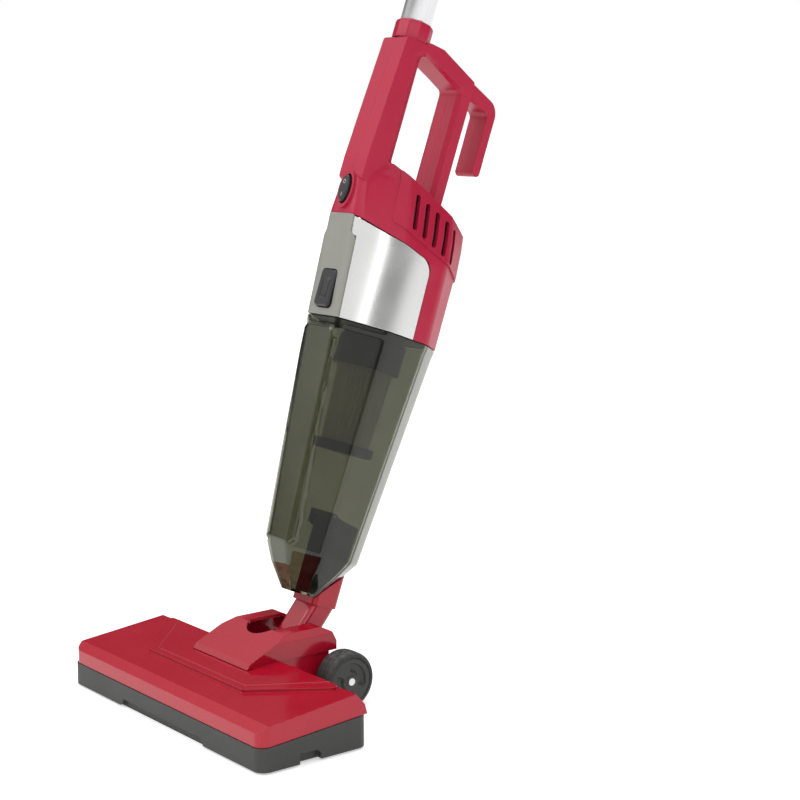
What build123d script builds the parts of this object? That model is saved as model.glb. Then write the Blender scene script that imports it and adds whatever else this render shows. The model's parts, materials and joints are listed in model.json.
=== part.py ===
"""Upright stick vacuum cleaner with a cyclone dust cup, as an assembly of separate pieces.

Millimetres, +Z up, +X to the right, the nozzle's front towards -Y. The origin is the centre of
the flat sole under the nozzle. The stick is shown leaning back, as it is held for cleaning.
Stick pieces are drawn in a leaning frame: x to the right, u towards the back and w along the
stick, all counted from the tilt axis.
"""
import math
import os

from build123d import *

# ---------------------------------------------------------------- driving dimensions (mm)
lean = 20.0                 # the stick's lean from vertical, degrees
pivot_y = 74.0              # tilt axis behind the sole's centre
pivot_z = 34.0              # tilt axis above the floor

nozzle_width = 270.0
nozzle_front = -40.0        # y of the nozzle's front face
nozzle_depth = 96.0
rim_front_z = 19.0          # joint between base and cover, at the front
rim_rear_z = 26.0           # the same at the back
rim_seam = 0.3              # gap between base and cover
cover_front_z = 35.0        # top of the cover behind its front edge
cover_rear_z = 43.0
cover_wall = 2.4
base_wall = 2.6
corner_radius = 9.0
base_lift = 1.6             # gap between the base's edge and the floor
front_relief_half = 55.0    # raised middle part of the base's front edge
front_relief_z = 7.5
plateau_front_inset = 69.0  # raised trapezium on the cover, in from the nozzle's ends
plateau_rear_inset = 13.0
plateau_height = 3.0
plateau_set_back = 31.0     # from the nozzle's front to the plateau's front edge

nozzle_screw_inset = 13.0   # screws, in from the nozzle's ends

mouth_inset = 31.0          # suction mouth, in from the nozzle's ends
mouth_front = -29.0
mouth_depth = 17.0
strip_width = 5.0

hood_half = 38.0            # housing over the tilt axis
hood_wall = 2.4
hood_foot = 14.0            # y of its front edge
hood_top_front = 52.0
hood_top_z = 63.0
hood_rear = 99.0
hood_seat_z = 44.0          # where it stands on the cover's skirt
skirt_floor_z = 12.0
slot_half = 18.6            # slot that the neck swings in
slot_front = 62.0

wheel_radius = 23.0
wheel_width = 19.0
wheel_y = 97.0
wheel_inner_x = 41.0
tyre_depth = 4.0
axle_radius = 3.0
roller_radius = 7.0
roller_width = 12.0
roller_y = 28.0
roller_inset = 23.0         # small rollers, in from the nozzle's ends
roller_pin_radius = 1.5
running_gap = 0.06          # radial clearance of every turning fit

cheek_half = 21.5           # inner face of the plates beside the hub
cheek_thickness = 5.0
hub_radius = 15.0
hub_half = 20.8
tilt_pin_radius = 4.0

neck_half = 14.0            # lower duct, half its width
neck_depth = 21.0
neck_lean = 20.0            # lower duct against the stick's axis, degrees
neck_wall = 2.4
socket_u = 16.0             # upper part of the neck, parallel to the stick
socket_half = 16.0
socket_depth = 25.0
socket_low = 46.0
spigot_top = 84.0
spigot_fit = 0.3            # between spigot and inlet duct, all round

cup_wall = 2.4
cup_bottom = 52.0           # w of the cup's flat bottom
cup_shoulder = 85.0         # w where the cup's sides start
rim_w = 268.0               # joint between cup and motor unit
rim_gap = 1.0
cup_rise = 2.0              # raised front panel
panel_half = 19.0
duct_top = 113.0
duct_wall = 2.0
flap_thickness = 1.6
flap_half = 15.0
flap_pin_radius = 1.2
mouth_slope = 0.18          # fall of the duct's mouth towards the back

filter_u = 2.0
filter_top = 262.0
holder_radius = 27.0
holder_height = 24.0
pleat_top_radius = 23.5
pleat_low_radius = 19.5
pleat_count = 36
pleat_depth = 3.0
disc_radius = 24.0
disc_w = 176.0
disc_height = 8.0

housing_wall = 2.6
shroud_rear = 4.4           # the silver shroud ends here, u
shroud_top_front = 352.0
shroud_top_rear = 333.0
spine_half = 20.0
spine_top_half = 15.5
spine_step = 333.0
spine_recess = 1.6          # depth of its seat in the shroud
spine_proud = 0.8
button_w = 289.0
button_width = 19.0
button_height = 30.0
button_gap = 0.5
shoulder_front = 398.0      # w of the housing's shoulder at the handle
shoulder_rear = 363.0       # and at its back corner
handle_half = 15.0
handle_front_low = -64.0
handle_front_high = -58.0
handle_top = 497.0
handle_back_top = 500.0
window_top_front = 491.0
window_top_rear = 475.0
window_low_rear = 383.0
rail_front_rear = -37.0     # rear face of the front rail, u
rail_rear_front = 9.0       # front face of the rear rail, u
rail_rear_back = 20.5
hook_out = 54.0
hook_in = 46.0
hook_tip = 417.0
hook_corner = 13.0            # outer radius of the cord hook's bend
flare_front = 8.0             # bevel round the window, its width on the front rail
flare_rest = 3.0              # and on the other rails
flare_depth = 4.5
vent_count = 5
vent_pitch = 10.8
vent_width = 5.0
vent_length = 30.0
vent_first_u = -17.0
vent_first_w = 365.5
vent_drop = 3.8
vent_panel_rise = 1.2         # panel round the vents, proud of the housing

tube_u = -43.0              # tube axis in front of the tilt axis
tube_radius = 12.5
tube_wall = 1.2
tube_fit = 0.15
collar_wall = 3.0
collar_top = 513.0
tube_low = 494.0
tube_top = 1060.0
grip_over_tube = 75.0       # length of the grip that covers the tube
grip_length = 150.0
grip_wall = 3.5
grip_nose = 5.0             # radius of the grip's flat end
upper_hook_w = 900.0

rocker_w = 368.0
rocker_half_width = 5.5
rocker_length = 22.0
rocker_gap = 1.4
gland_w = 300.0
cord_radius = 3.7

motor_u = -4.0              # motor axis
fan_low = 279.0
fan_height = 18.0
fan_radius = 37.0
fan_wall = 1.2
impeller_radius = 33.0
blade_count = 8
stator_low = 303.5
stator_height = 20.0
stator_radius = 30.0
armature_radius = 15.4
stator_bore = 16.0
shaft_radius = 4.0
shaft_top = 342.0
bearing_radius = 9.5
bearing_height = 6.0
screw_radius = 1.6
screw_head_radius = 3.2

# ---------------------------------------------------------------- frames
lean_rad = math.radians(lean)
sin_lean = math.sin(lean_rad)
cos_lean = math.cos(lean_rad)
pivot = (0, pivot_y, pivot_z)
stick = Plane(origin=pivot, x_dir=(1, 0, 0), z_dir=(0, sin_lean, cos_lean))
side = Plane(origin=pivot, x_dir=(0, cos_lean, -sin_lean), z_dir=(1, 0, 0))
front_view = Plane(origin=pivot, x_dir=(1, 0, 0), z_dir=(0, -cos_lean, sin_lean))
neck_rad = math.radians(lean + neck_lean)
neck_frame = Plane(
    origin=pivot, x_dir=(1, 0, 0), z_dir=(0, math.sin(neck_rad), math.cos(neck_rad))
)
yz = Plane(origin=(0, 0, 0), x_dir=(0, 1, 0), z_dir=(1, 0, 0))
nozzle_rear = nozzle_front + nozzle_depth
nozzle_half = nozzle_width / 2
plateau_front_half = nozzle_half - plateau_front_inset
plateau_rear_half = nozzle_half - plateau_rear_inset
mouth_half = nozzle_half - mouth_inset
roller_x = nozzle_half - roller_inset
nozzle_screw_x = nozzle_half - nozzle_screw_inset
plateau_front = nozzle_front + plateau_set_back

collar_radius = tube_radius + collar_wall
grip_radius = tube_radius + grip_wall
grip_low = tube_top - grip_over_tube
grip_top = grip_low + grip_length

os.makedirs("parts", exist_ok=True)


def finish(part, label):
    """Name one piece and write it."""
    part.label = label
    export_step(part, f"parts/{label}.step")


def outline(points, radius=0.0, inset=0.0):
    """A closed flat face through points, with its corners rounded and its edge moved inwards."""
    with BuildSketch(Plane.XY, mode=Mode.PRIVATE) as made:
        with BuildLine():
            Polyline(*points, close=True)
        make_face()
        if radius:
            fillet(made.vertices(), radius)
        if inset:
            offset(amount=-inset, kind=Kind.INTERSECTION, mode=Mode.REPLACE)
    return made.sketch


def rounded(corners):
    """A closed flat face through corners given as (u, w, radius)."""
    with BuildSketch(Plane.XY, mode=Mode.PRIVATE) as made:
        with BuildLine():
            Polyline(*[(u, w) for u, w, radius in corners], close=True)
        make_face()
        for u, w, radius in corners:
            if radius:
                fillet(made.vertices().sort_by_distance((u, w, 0))[0], radius)
    return made.sketch


def prism(plane, face, low, high):
    """A solid of one flat face between two distances along a plane's normal."""
    with BuildPart(mode=Mode.PRIVATE) as made:
        with BuildSketch(plane.offset(low)):
            add(face)
        extrude(amount=high - low)
    return made.part


def ring_solid(plane, low, high, outer, inner=0.0):
    """A plain ring or, with no inner radius, a disc, along a plane's normal."""
    with BuildPart(mode=Mode.PRIVATE) as made:
        with BuildSketch(plane.offset(low)):
            Circle(outer)
            if inner:
                Circle(inner, mode=Mode.SUBTRACT)
        extrude(amount=high - low)
    return made.part


def both_ways(plane, face, half):
    """A solid of one flat face, half thick to each side of a plane."""
    return prism(plane, face, -half, half)


def stick_face(half, front, rear, radius, inset=0.0):
    """The eight-sided rounded section of the stick: flat front, full sides, flat back."""
    points = [
        (-0.46 * half, front),
        (0.46 * half, front),
        (half, 0.38 * front),
        (half, 0.42 * rear),
        (0.55 * half, rear),
        (-0.55 * half, rear),
        (-half, 0.42 * rear),
        (-half, 0.38 * front),
    ]
    return outline(points, radius, inset)


def stick_loft(levels, inset=0.0):
    """A solid through stick sections given as (w, half width, front u, rear u, corner)."""
    with BuildPart(mode=Mode.PRIVATE) as made:
        for w, half, front, rear, radius in levels:
            face = stick_face(half, front, rear, radius, inset)
            with BuildSketch(stick.offset(w)):
                add(face)
        loft(ruled=True)
    return made.part


def axis_plane(x, y, z):
    """A plane whose normal is the world's X axis, at a point."""
    return Plane(origin=(x, y, z), x_dir=(0, 1, 0), z_dir=(1, 0, 0))


def stick_point(x, u, w):
    """A point of the leaning frame in the world's frame."""
    return stick.from_local_coords(Vector(x, u, w))


# ---------------------------------------------------------------- nozzle
base_profile = [
    (nozzle_front, base_lift),
    (nozzle_rear, base_lift),
    (nozzle_rear, rim_rear_z),
    (nozzle_front, rim_front_z),
]
cover_profile = [
    (nozzle_front + 0.8, rim_front_z + rim_seam),
    (nozzle_rear - 0.8, rim_rear_z + rim_seam),
    (nozzle_rear - 3, cover_rear_z - 9),
    (nozzle_rear - 11, cover_rear_z),
    (nozzle_front + 8, cover_front_z),
    (nozzle_front + 0.8, cover_front_z - 5),
]


def nozzle_block(profile, half, radius):
    """A nozzle solid of one (y, z) outline across the width, rounded at its four corners."""
    with BuildPart(mode=Mode.PRIVATE) as made:
        add(both_ways(yz, outline(profile), half))
        upright = made.edges().filter_by(Axis.Z)
        fillet(upright, radius)
    return made.part


cover_half = nozzle_half - 0.8
skirt_rear = wheel_y - axle_radius - 1.5
skirt = [
    (nozzle_rear - 14, rim_rear_z + 0.2),
    (nozzle_rear + 0.4, rim_rear_z + 0.2),
    (nozzle_rear + 0.4, skirt_floor_z),
    (skirt_rear - 1, skirt_floor_z),
    (skirt_rear, skirt_floor_z + 8),
    (skirt_rear, hood_seat_z),
    (nozzle_rear - 14, hood_seat_z),
]
skirt_half = hood_half - 1.5
plateau = [
    (-plateau_front_half, plateau_front),
    (plateau_front_half, plateau_front),
    (plateau_rear_half, nozzle_rear - 13),
    (-plateau_rear_half, nozzle_rear - 13),
]
plateau_profile = [
    (plateau_front, cover_front_z - 4),
    (nozzle_rear - 13, cover_rear_z - 4),
    (nozzle_rear - 13, cover_rear_z + plateau_height - 0.6),
    (plateau_front, cover_front_z + plateau_height + 2.2),
]

yoke_room = [
    (nozzle_rear - 12, 0),
    (skirt_rear - hood_wall, 0),
    (skirt_rear - hood_wall, hood_seat_z + 30),
    (nozzle_rear - 8, hood_seat_z + 30),
    (nozzle_rear - 8, cover_rear_z - cover_wall - 1),
    (nozzle_rear - 12, cover_rear_z - cover_wall - 1),
]
cheek_room = [
    (skirt_rear - 5, skirt_floor_z - 1),
    (skirt_rear + 5, skirt_floor_z - 1),
    (skirt_rear + 5, hood_seat_z + 1),
    (skirt_rear - 5, hood_seat_z + 1),
]
nozzle_screw_rows = (nozzle_front + 12, nozzle_rear - 12)
nozzle_screw_top = 27.0
boss_radius = 4.5
boss_joint_z = 15.0
cover_outer = nozzle_block(cover_profile, cover_half, corner_radius)


def cover_top_z(y):
    """Height of the cover's sloping top at a distance y."""
    along = (y - nozzle_front - 8) / (nozzle_depth - 19)
    return cover_front_z + along * (cover_rear_z - cover_front_z)


inner_profile = [
    (nozzle_front + 0.8 + cover_wall, rim_front_z - 5),
    (nozzle_rear - 0.8 - cover_wall, rim_rear_z - 5),
    (nozzle_rear - 3 - cover_wall, cover_rear_z - 10),
    (nozzle_rear - 12, cover_rear_z - cover_wall),
    (nozzle_front + 9, cover_front_z - cover_wall),
    (nozzle_front + 0.8 + cover_wall, cover_front_z - 6),
]
cover_inner = nozzle_block(inner_profile, cover_half - cover_wall, corner_radius - cover_wall)
plateau_solid = prism(Plane.XY, outline(plateau, 4.0), 0, 80) & both_ways(
    yz, outline(plateau_profile), nozzle_half
)
slot_outline = [
    (slot_front, skirt_floor_z + 5),
    (hood_rear + 20, skirt_floor_z + 5),
    (hood_rear + 20, 90),
    (slot_front, 90),
]

with BuildPart() as nozzle_cover:
    add(cover_outer)
    add(plateau_solid)
    add(both_ways(yz, outline(skirt), skirt_half))
    add(cover_inner, mode=Mode.SUBTRACT)
    add(both_ways(yz, outline(skirt, 0, hood_wall), skirt_half - hood_wall), mode=Mode.SUBTRACT)
    add(both_ways(yz, outline(yoke_room), skirt_half - hood_wall), mode=Mode.SUBTRACT)
    add(both_ways(yz, outline(slot_outline), slot_half), mode=Mode.SUBTRACT)
    add(both_ways(yz, outline(cheek_room), cheek_half + cheek_thickness + 0.6), mode=Mode.SUBTRACT)
    for x_side in (-1, 1):
        for screw_y in nozzle_screw_rows:
            boss = Plane(origin=(x_side * nozzle_screw_x, screw_y, 0))
            add(ring_solid(boss, boss_joint_z + 0.3, cover_top_z(screw_y) - cover_wall / 2, boss_radius))
            add(ring_solid(boss, boss_joint_z, nozzle_screw_top, screw_radius), mode=Mode.SUBTRACT)
finish(nozzle_cover.part, "nozzle_cover")

base_outer = nozzle_block(base_profile, nozzle_half, corner_radius)
base_cavity_profile = [
    (nozzle_front + base_wall + 2.6, base_lift + base_wall),
    (nozzle_rear - base_wall - 2.6, base_lift + base_wall),
    (nozzle_rear - base_wall - 2.6, rim_rear_z + 5),
    (nozzle_front + base_wall + 2.6, rim_front_z + 5),
]
base_cavity = nozzle_block(base_cavity_profile, nozzle_half - base_wall - 2.6, corner_radius - 3)
cheek_profile = [
    (nozzle_rear - 6, base_lift + 2),
    (wheel_y + 8, skirt_floor_z + 4),
    (wheel_y + 3, wheel_radius + 8),
    (pivot_y + 12, hood_seat_z + 4),
    (pivot_y - 10, hood_seat_z + 4),
    (nozzle_rear - 6, rim_rear_z - 2),
]

with BuildPart() as nozzle_base:
    add(base_outer)
    add(base_cavity, mode=Mode.SUBTRACT)
    for x_side in (-1, 1):
        low = cheek_half if x_side > 0 else -cheek_half - cheek_thickness
        add(prism(yz, outline(cheek_profile, 2.0), low, low + cheek_thickness))
    with BuildSketch(Plane.XY):
        with Locations((0, mouth_front + mouth_depth / 2)):
            Rectangle(2 * mouth_half, mouth_depth)
    extrude(amount=base_lift + base_wall + 1, mode=Mode.SUBTRACT)
    relief = [
        (-front_relief_half - 6, base_lift - 1),
        (front_relief_half + 6, base_lift - 1),
        (front_relief_half, front_relief_z),
        (-front_relief_half, front_relief_z),
    ]
    front_face = Plane(origin=(0, nozzle_front, 0), x_dir=(1, 0, 0), z_dir=(0, -1, 0))
    add(prism(front_face, outline(relief), -base_wall - 1.5, 1), mode=Mode.SUBTRACT)
    notch = [(-8, 0), (11, 0), (11, 5.5), (8, 8.5), (-8, 9.5)]
    notch_points = [(nozzle_front + 42 + a, base_lift - 1 + b) for a, b in notch]
    for x_side in (-1, 1):
        low = nozzle_half - 5 if x_side > 0 else -nozzle_half - 1
        add(prism(yz, outline(notch_points), low, low + 6), mode=Mode.SUBTRACT)
        roller_low = roller_x - roller_width / 2 - 1 if x_side > 0 else -roller_x - roller_width / 2 - 1
        well = [
            (roller_y - roller_radius - 1.5, 0),
            (roller_y + roller_radius + 1.5, 0),
            (roller_y + roller_radius + 1.5, base_lift + base_wall + 1),
            (roller_y - roller_radius - 1.5, base_lift + base_wall + 1),
        ]
        add(prism(yz, outline(well), roller_low, roller_low + roller_width + 2), mode=Mode.SUBTRACT)
        for end in (-1, 1):
            post_x = x_side * roller_x + end * (roller_width / 2 + 2.2)
            post = [
                (roller_y - 4, base_lift + base_wall - 1),
                (roller_y + 4, base_lift + base_wall - 1),
                (roller_y + 4, roller_radius + 4),
                (roller_y - 4, roller_radius + 4),
            ]
            add(prism(yz, outline(post), post_x - 1.6, post_x + 1.6))
        roller_hole = axis_plane(x_side * roller_x, roller_y, roller_radius)
        add(ring_solid(roller_hole, -9.9, 9.9, roller_pin_radius), mode=Mode.SUBTRACT)
        axle_hole = axis_plane(x_side * (cheek_half + 2), wheel_y, wheel_radius)
        add(ring_solid(axle_hole, -9, 9, axle_radius), mode=Mode.SUBTRACT)
        pin_hole = axis_plane(x_side * (cheek_half + 2), pivot_y, pivot_z)
        add(ring_solid(pin_hole, -9, 9, tilt_pin_radius), mode=Mode.SUBTRACT)
        for screw_y in nozzle_screw_rows:
            boss = Plane(origin=(x_side * nozzle_screw_x, screw_y, 0))
            add(ring_solid(boss, base_lift + 1, boss_joint_z, boss_radius + 0.5))
            add(ring_solid(boss, base_lift - 1, base_lift + 2.4, screw_head_radius + 0.3), mode=Mode.SUBTRACT)
            add(ring_solid(boss, base_lift, boss_joint_z + 1, screw_radius), mode=Mode.SUBTRACT)
    channel = [
        (nozzle_rear - 12, base_lift + base_wall),
        (nozzle_rear + 2, base_lift + base_wall),
        (nozzle_rear + 2, rim_rear_z + 2),
        (nozzle_rear - 12, rim_rear_z + 2),
    ]
    add(both_ways(yz, outline(channel), cheek_half - 0.5), mode=Mode.SUBTRACT)
finish(nozzle_base.part, "nozzle_base")

with BuildPart() as sole_plate:
    with BuildSketch(Plane.XY):
        with Locations((0, (nozzle_front + nozzle_rear) / 2 - 8)):
            RectangleRounded(2 * (nozzle_half - 22), nozzle_depth - 24, 6)
        with Locations((0, mouth_front + mouth_depth / 2)):
            Rectangle(2 * mouth_half, mouth_depth + 2 * strip_width, mode=Mode.SUBTRACT)
        for x_side in (-1, 1):
            with Locations((x_side * roller_x, roller_y)):
                Rectangle(roller_width + 3, 2 * roller_radius + 4, mode=Mode.SUBTRACT)
    extrude(amount=base_lift)
finish(sole_plate.part, "sole_plate")

with BuildPart() as lint_strips:
    with BuildSketch(Plane.XY.offset(0.2)):
        for strip_y in (mouth_front - 0.5 * strip_width, mouth_front + mouth_depth + 0.5 * strip_width):
            with Locations((0, strip_y)):
                Rectangle(2 * mouth_half - 12, strip_width - 1)
    extrude(amount=base_lift - 0.2)
finish(lint_strips.part, "lint_strips")

hood_profile = [
    (hood_foot, hood_seat_z - 1),
    (hood_foot + 3, hood_seat_z + 3),
    (hood_top_front, hood_top_z),
    (hood_rear - 12, hood_top_z),
    (hood_rear - 4, hood_top_z - 4),
    (hood_rear, hood_top_z - 12),
    (hood_rear, hood_seat_z),
    (nozzle_rear - 12, hood_seat_z),
]
hood_outer = both_ways(yz, outline(hood_profile), hood_half)
with BuildPart() as neck_hood:
    add(hood_outer)
    chamfer(neck_hood.faces().sort_by(Axis.X)[-1].edges().group_by(Axis.Z)[-1], 5)
    chamfer(neck_hood.faces().sort_by(Axis.X)[0].edges().group_by(Axis.Z)[-1], 5)
    cavity = outline(hood_profile, 0, hood_wall + 0.2)
    add(both_ways(yz, cavity, hood_half - hood_wall - 3), mode=Mode.SUBTRACT)
    with BuildSketch(Plane.XY.offset(hood_seat_z - 3)):
        with Locations((0, (nozzle_rear - 9 + hood_rear - hood_wall) / 2)):
            Rectangle(2 * (hood_half - hood_wall - 3), hood_rear - hood_wall - nozzle_rear + 9)
    extrude(amount=8, mode=Mode.SUBTRACT)
    add(both_ways(yz, outline(slot_outline), slot_half), mode=Mode.SUBTRACT)
    with BuildSketch(Plane.XY.offset(skirt_floor_z)):
        with Locations((0, slot_front)):
            Circle(slot_half)
    extrude(amount=90, mode=Mode.SUBTRACT)
    add(plateau_solid, mode=Mode.SUBTRACT)
    add(cover_outer, mode=Mode.SUBTRACT)
    add(both_ways(yz, outline(skirt), skirt_half), mode=Mode.SUBTRACT)
finish(neck_hood.part, "neck_hood")

with BuildPart() as nozzle_screws:
    for x_side in (-1, 1):
        for screw_y in nozzle_screw_rows:
            boss = Plane(origin=(x_side * nozzle_screw_x, screw_y, 0))
            add(ring_solid(boss, base_lift + 0.4, base_lift + 2.4, screw_head_radius))
            add(ring_solid(boss, base_lift + 2.3, nozzle_screw_top, screw_radius))
finish(nozzle_screws.part, "nozzle_screws")

with BuildPart() as wheel_axles:
    for x_side in (-1, 1):
        low = cheek_half - 1 if x_side > 0 else -(wheel_inner_x + wheel_width + 0.6)
        high = wheel_inner_x + wheel_width + 0.6 if x_side > 0 else -cheek_half + 1
        add(ring_solid(axis_plane(0, wheel_y, wheel_radius), low, high, axle_radius))
finish(wheel_axles.part, "wheel_axles")

with BuildPart() as tilt_pins:
    for x_side in (-1, 1):
        low = 12.0 if x_side > 0 else -(cheek_half + cheek_thickness + 2)
        high = cheek_half + cheek_thickness + 2 if x_side > 0 else -12.0
        add(ring_solid(axis_plane(0, pivot_y, pivot_z), low, high, tilt_pin_radius))
finish(tilt_pins.part, "tilt_pins")

with BuildPart() as roller_pins:
    for x_side in (-1, 1):
        roller_plane = axis_plane(x_side * roller_x, roller_y, roller_radius)
        add(ring_solid(roller_plane, -9.6, 9.6, roller_pin_radius))
finish(roller_pins.part, "roller_pins")

with BuildPart() as friction_spring:
    spring_plane = axis_plane(0, pivot_y, pivot_z)
    add(ring_solid(spring_plane, hub_half + 0.1, cheek_half - 0.1, hub_radius - 4, tilt_pin_radius + 1))
    add(ring_solid(spring_plane, -cheek_half + 0.1, -hub_half - 0.1, hub_radius - 4, tilt_pin_radius + 1))
finish(friction_spring.part, "friction_washers")

for side_name, x_side in (("left", -1), ("right", 1)):
    low = wheel_inner_x if x_side > 0 else -wheel_inner_x - wheel_width
    outer_face = low + wheel_width if x_side > 0 else low
    wheel_plane = axis_plane(0, wheel_y, wheel_radius)
    with BuildPart() as wheel:
        bore = axle_radius + running_gap
        add(ring_solid(wheel_plane, low, low + wheel_width, wheel_radius - tyre_depth, bore))
        dish_low = outer_face - 3 if x_side > 0 else outer_face
        add(ring_solid(wheel_plane, dish_low, dish_low + 3, wheel_radius - 7, 8), mode=Mode.SUBTRACT)
    finish(wheel.part, f"wheel_{side_name}")
    with BuildPart() as tyre:
        seat = wheel_radius - tyre_depth
        add(ring_solid(wheel_plane, low + 0.5, low + wheel_width - 0.5, wheel_radius, seat))
        fillet(tyre.edges().filter_by(GeomType.CIRCLE).group_by(SortBy.RADIUS)[-1], 1.5)
    finish(tyre.part, f"tyre_{side_name}")
    with BuildPart() as roller:
        roller_plane = axis_plane(x_side * roller_x, roller_y, roller_radius)
        half = roller_width / 2
        add(ring_solid(roller_plane, -half, half, roller_radius, roller_pin_radius + running_gap))
    finish(roller.part, f"roller_{side_name}")

# ---------------------------------------------------------------- dust cup outline
cup_levels = [
    (cup_bottom, 15.0, -15.0, 9.0, 4.0),
    (cup_bottom + 19, 26.0, -29.0, 25.0, 7.0),
    (cup_shoulder, 32.5, -36.0, 35.0, 10.0),
    (rim_w - rim_gap, 45.5, -53.5, 47.5, 14.0),
]


def cup_levels_moved(bottom_shift, top_shift):
    """The cup's sections with the lowest and highest ones moved along the stick."""
    moved = [list(level) for level in cup_levels]
    moved[0][0] += bottom_shift
    moved[-1][0] += top_shift
    return moved


cup_outer = stick_loft(cup_levels)
cup_inner = stick_loft(cup_levels_moved(cup_wall, 0.0), cup_wall)
cup_clearance = stick_loft(cup_levels_moved(-0.5, 0.0), -0.5)

# ---------------------------------------------------------------- neck
with BuildPart(mode=Mode.PRIVATE) as neck_outer:
    with BuildSketch(neck_frame):
        RectangleRounded(2 * neck_half, neck_depth, 5)
    extrude(amount=socket_low + 8)
    with BuildSketch(stick.offset(socket_low)):
        with Locations((0, socket_u)):
            RectangleRounded(2 * socket_half, socket_depth, 5)
    extrude(amount=34)
    add(ring_solid(axis_plane(0, pivot_y, pivot_z), -hub_half, hub_half, hub_radius))
    add(cup_clearance, mode=Mode.SUBTRACT)

spigot_half = socket_half - duct_wall - spigot_fit
spigot_depth = socket_depth - 2 * (duct_wall + spigot_fit)

with BuildPart() as neck_elbow:
    add(neck_outer.part)
    with BuildSketch(stick.offset(socket_low + 2)):
        with Locations((0, socket_u)):
            RectangleRounded(2 * spigot_half, spigot_depth, 3)
    extrude(amount=spigot_top - socket_low - 2)
    with BuildSketch(stick.offset(socket_low + 2)):
        with Locations((0, socket_u)):
            RectangleRounded(2 * (spigot_half - neck_wall), spigot_depth - 2 * neck_wall, 1.5)
    extrude(amount=spigot_top - socket_low, mode=Mode.SUBTRACT)
    with BuildSketch(neck_frame.offset(-hub_radius - 1)):
        RectangleRounded(2 * (neck_half - neck_wall - 2.5), neck_depth - 2 * neck_wall - 4, 2)
    extrude(amount=hub_radius + 1 + socket_low + 6, mode=Mode.SUBTRACT)
    pin_plane = axis_plane(0, pivot_y, pivot_z)
    pin_bore = tilt_pin_radius + running_gap
    add(ring_solid(pin_plane, -hub_half - 1, hub_half + 1, pin_bore), mode=Mode.SUBTRACT)
finish(neck_elbow.part, "neck_elbow")

# ---------------------------------------------------------------- dust cup
panel_outline = [
    (-panel_half, cup_shoulder - 2),
    (panel_half, cup_shoulder - 2),
    (panel_half + 1.5, rim_w - 6),
    (-panel_half - 1.5, rim_w - 6),
]
front_panel = stick_loft(cup_levels, -cup_rise) & prism(
    front_view, outline(panel_outline, 8.0), 20, 80
)
socket_hole = [
    (-socket_half + duct_wall, socket_u - socket_depth / 2 + duct_wall),
    (socket_half - duct_wall, socket_u - socket_depth / 2 + duct_wall),
    (socket_half - duct_wall, socket_u + socket_depth / 2 - duct_wall),
    (-socket_half + duct_wall, socket_u + socket_depth / 2 - duct_wall),
]

with BuildPart() as dust_cup:
    add(cup_outer)
    add(front_panel)
    add(cup_inner, mode=Mode.SUBTRACT)
    add(prism(stick, outline(socket_hole, 3.0), cup_bottom - 5, cup_bottom + 40), mode=Mode.SUBTRACT)
finish(dust_cup.part, "dust_cup")

def mouth_w(u):
    """Height along the stick of the duct's slanted mouth."""
    return duct_top - mouth_slope * (u - socket_u)


duct_front = socket_u - socket_depth / 2
duct_rear = socket_u + socket_depth / 2
mouth_cut = [
    (duct_front - 20, mouth_w(duct_front - 20)),
    (duct_rear + 20, mouth_w(duct_rear + 20)),
    (duct_rear + 20, duct_top + 40),
    (duct_front - 20, duct_top + 40),
]
flap_pin_u = duct_front - 1.5
flap_pin_w = mouth_w(duct_front) + 2.2
ear = [
    (duct_front - 4, mouth_w(duct_front) - 7),
    (duct_front + 1, mouth_w(duct_front) - 9),
    (duct_front + 1, mouth_w(duct_front)),
    (duct_front - 0.2, mouth_w(duct_front) + 4.5),
    (duct_front - 4, mouth_w(duct_front) + 4.5),
]
flap_pin_plane = Plane(origin=stick_point(0, flap_pin_u, flap_pin_w), x_dir=(0, 1, 0), z_dir=(1, 0, 0))

with BuildPart() as inlet_duct:
    with BuildSketch(stick.offset(cup_bottom - 2)):
        with Locations((0, socket_u)):
            RectangleRounded(2 * socket_half, socket_depth, 5)
    extrude(amount=duct_top - cup_bottom + 12)
    add(both_ways(side, outline(mouth_cut), 40), mode=Mode.SUBTRACT)
    for x_side in (-1, 1):
        low = 12.2 if x_side > 0 else -15.6
        add(prism(side, outline(ear), low, low + 3.4))
    add(ring_solid(flap_pin_plane, -20, 20, flap_pin_radius), mode=Mode.SUBTRACT)
    add(prism(stick, outline(socket_hole, 3.0), cup_bottom - 5, duct_top + 20), mode=Mode.SUBTRACT)
    add(cup_inner, mode=Mode.INTERSECT)
finish(inlet_duct.part, "inlet_duct")

with BuildPart() as flap_pin:
    add(ring_solid(flap_pin_plane, -15.5, 15.5, flap_pin_radius))
finish(flap_pin.part, "flap_pin")

flap_front = duct_front + 1.6
flap_plate = [
    (flap_front, mouth_w(flap_front) + 0.3),
    (duct_rear - 0.8, mouth_w(duct_rear - 0.8) + 0.3),
    (duct_rear - 0.8, mouth_w(duct_rear - 0.8) + 0.3 + flap_thickness),
    (flap_front, mouth_w(flap_front) + 0.3 + flap_thickness),
]
flap_arm = [
    (flap_pin_u, flap_pin_w - 0.7),
    (flap_front + 2, mouth_w(flap_front + 2) + 0.3 + 0.2),
    (flap_front + 2, mouth_w(flap_front + 2) + 0.3 + flap_thickness),
    (flap_pin_u, flap_pin_w + 1.6),
]
with BuildPart() as inlet_flap:
    add(both_ways(side, outline(flap_plate), flap_half))
    add(both_ways(side, outline(flap_arm), 11.6))
    add(ring_solid(flap_pin_plane, -11.6, 11.6, flap_pin_radius + 1.2))
    add(ring_solid(flap_pin_plane, -20, 20, flap_pin_radius + running_gap), mode=Mode.SUBTRACT)
finish(inlet_flap.part, "inlet_flap")

# ---------------------------------------------------------------- filter
filter_axis = Plane(origin=stick_point(0, filter_u, 0), x_dir=(1, 0, 0), z_dir=stick.z_dir)
holder_low = filter_top - holder_height
holder_neck = 19.4
intake_hole = holder_neck + 0.4

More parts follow.
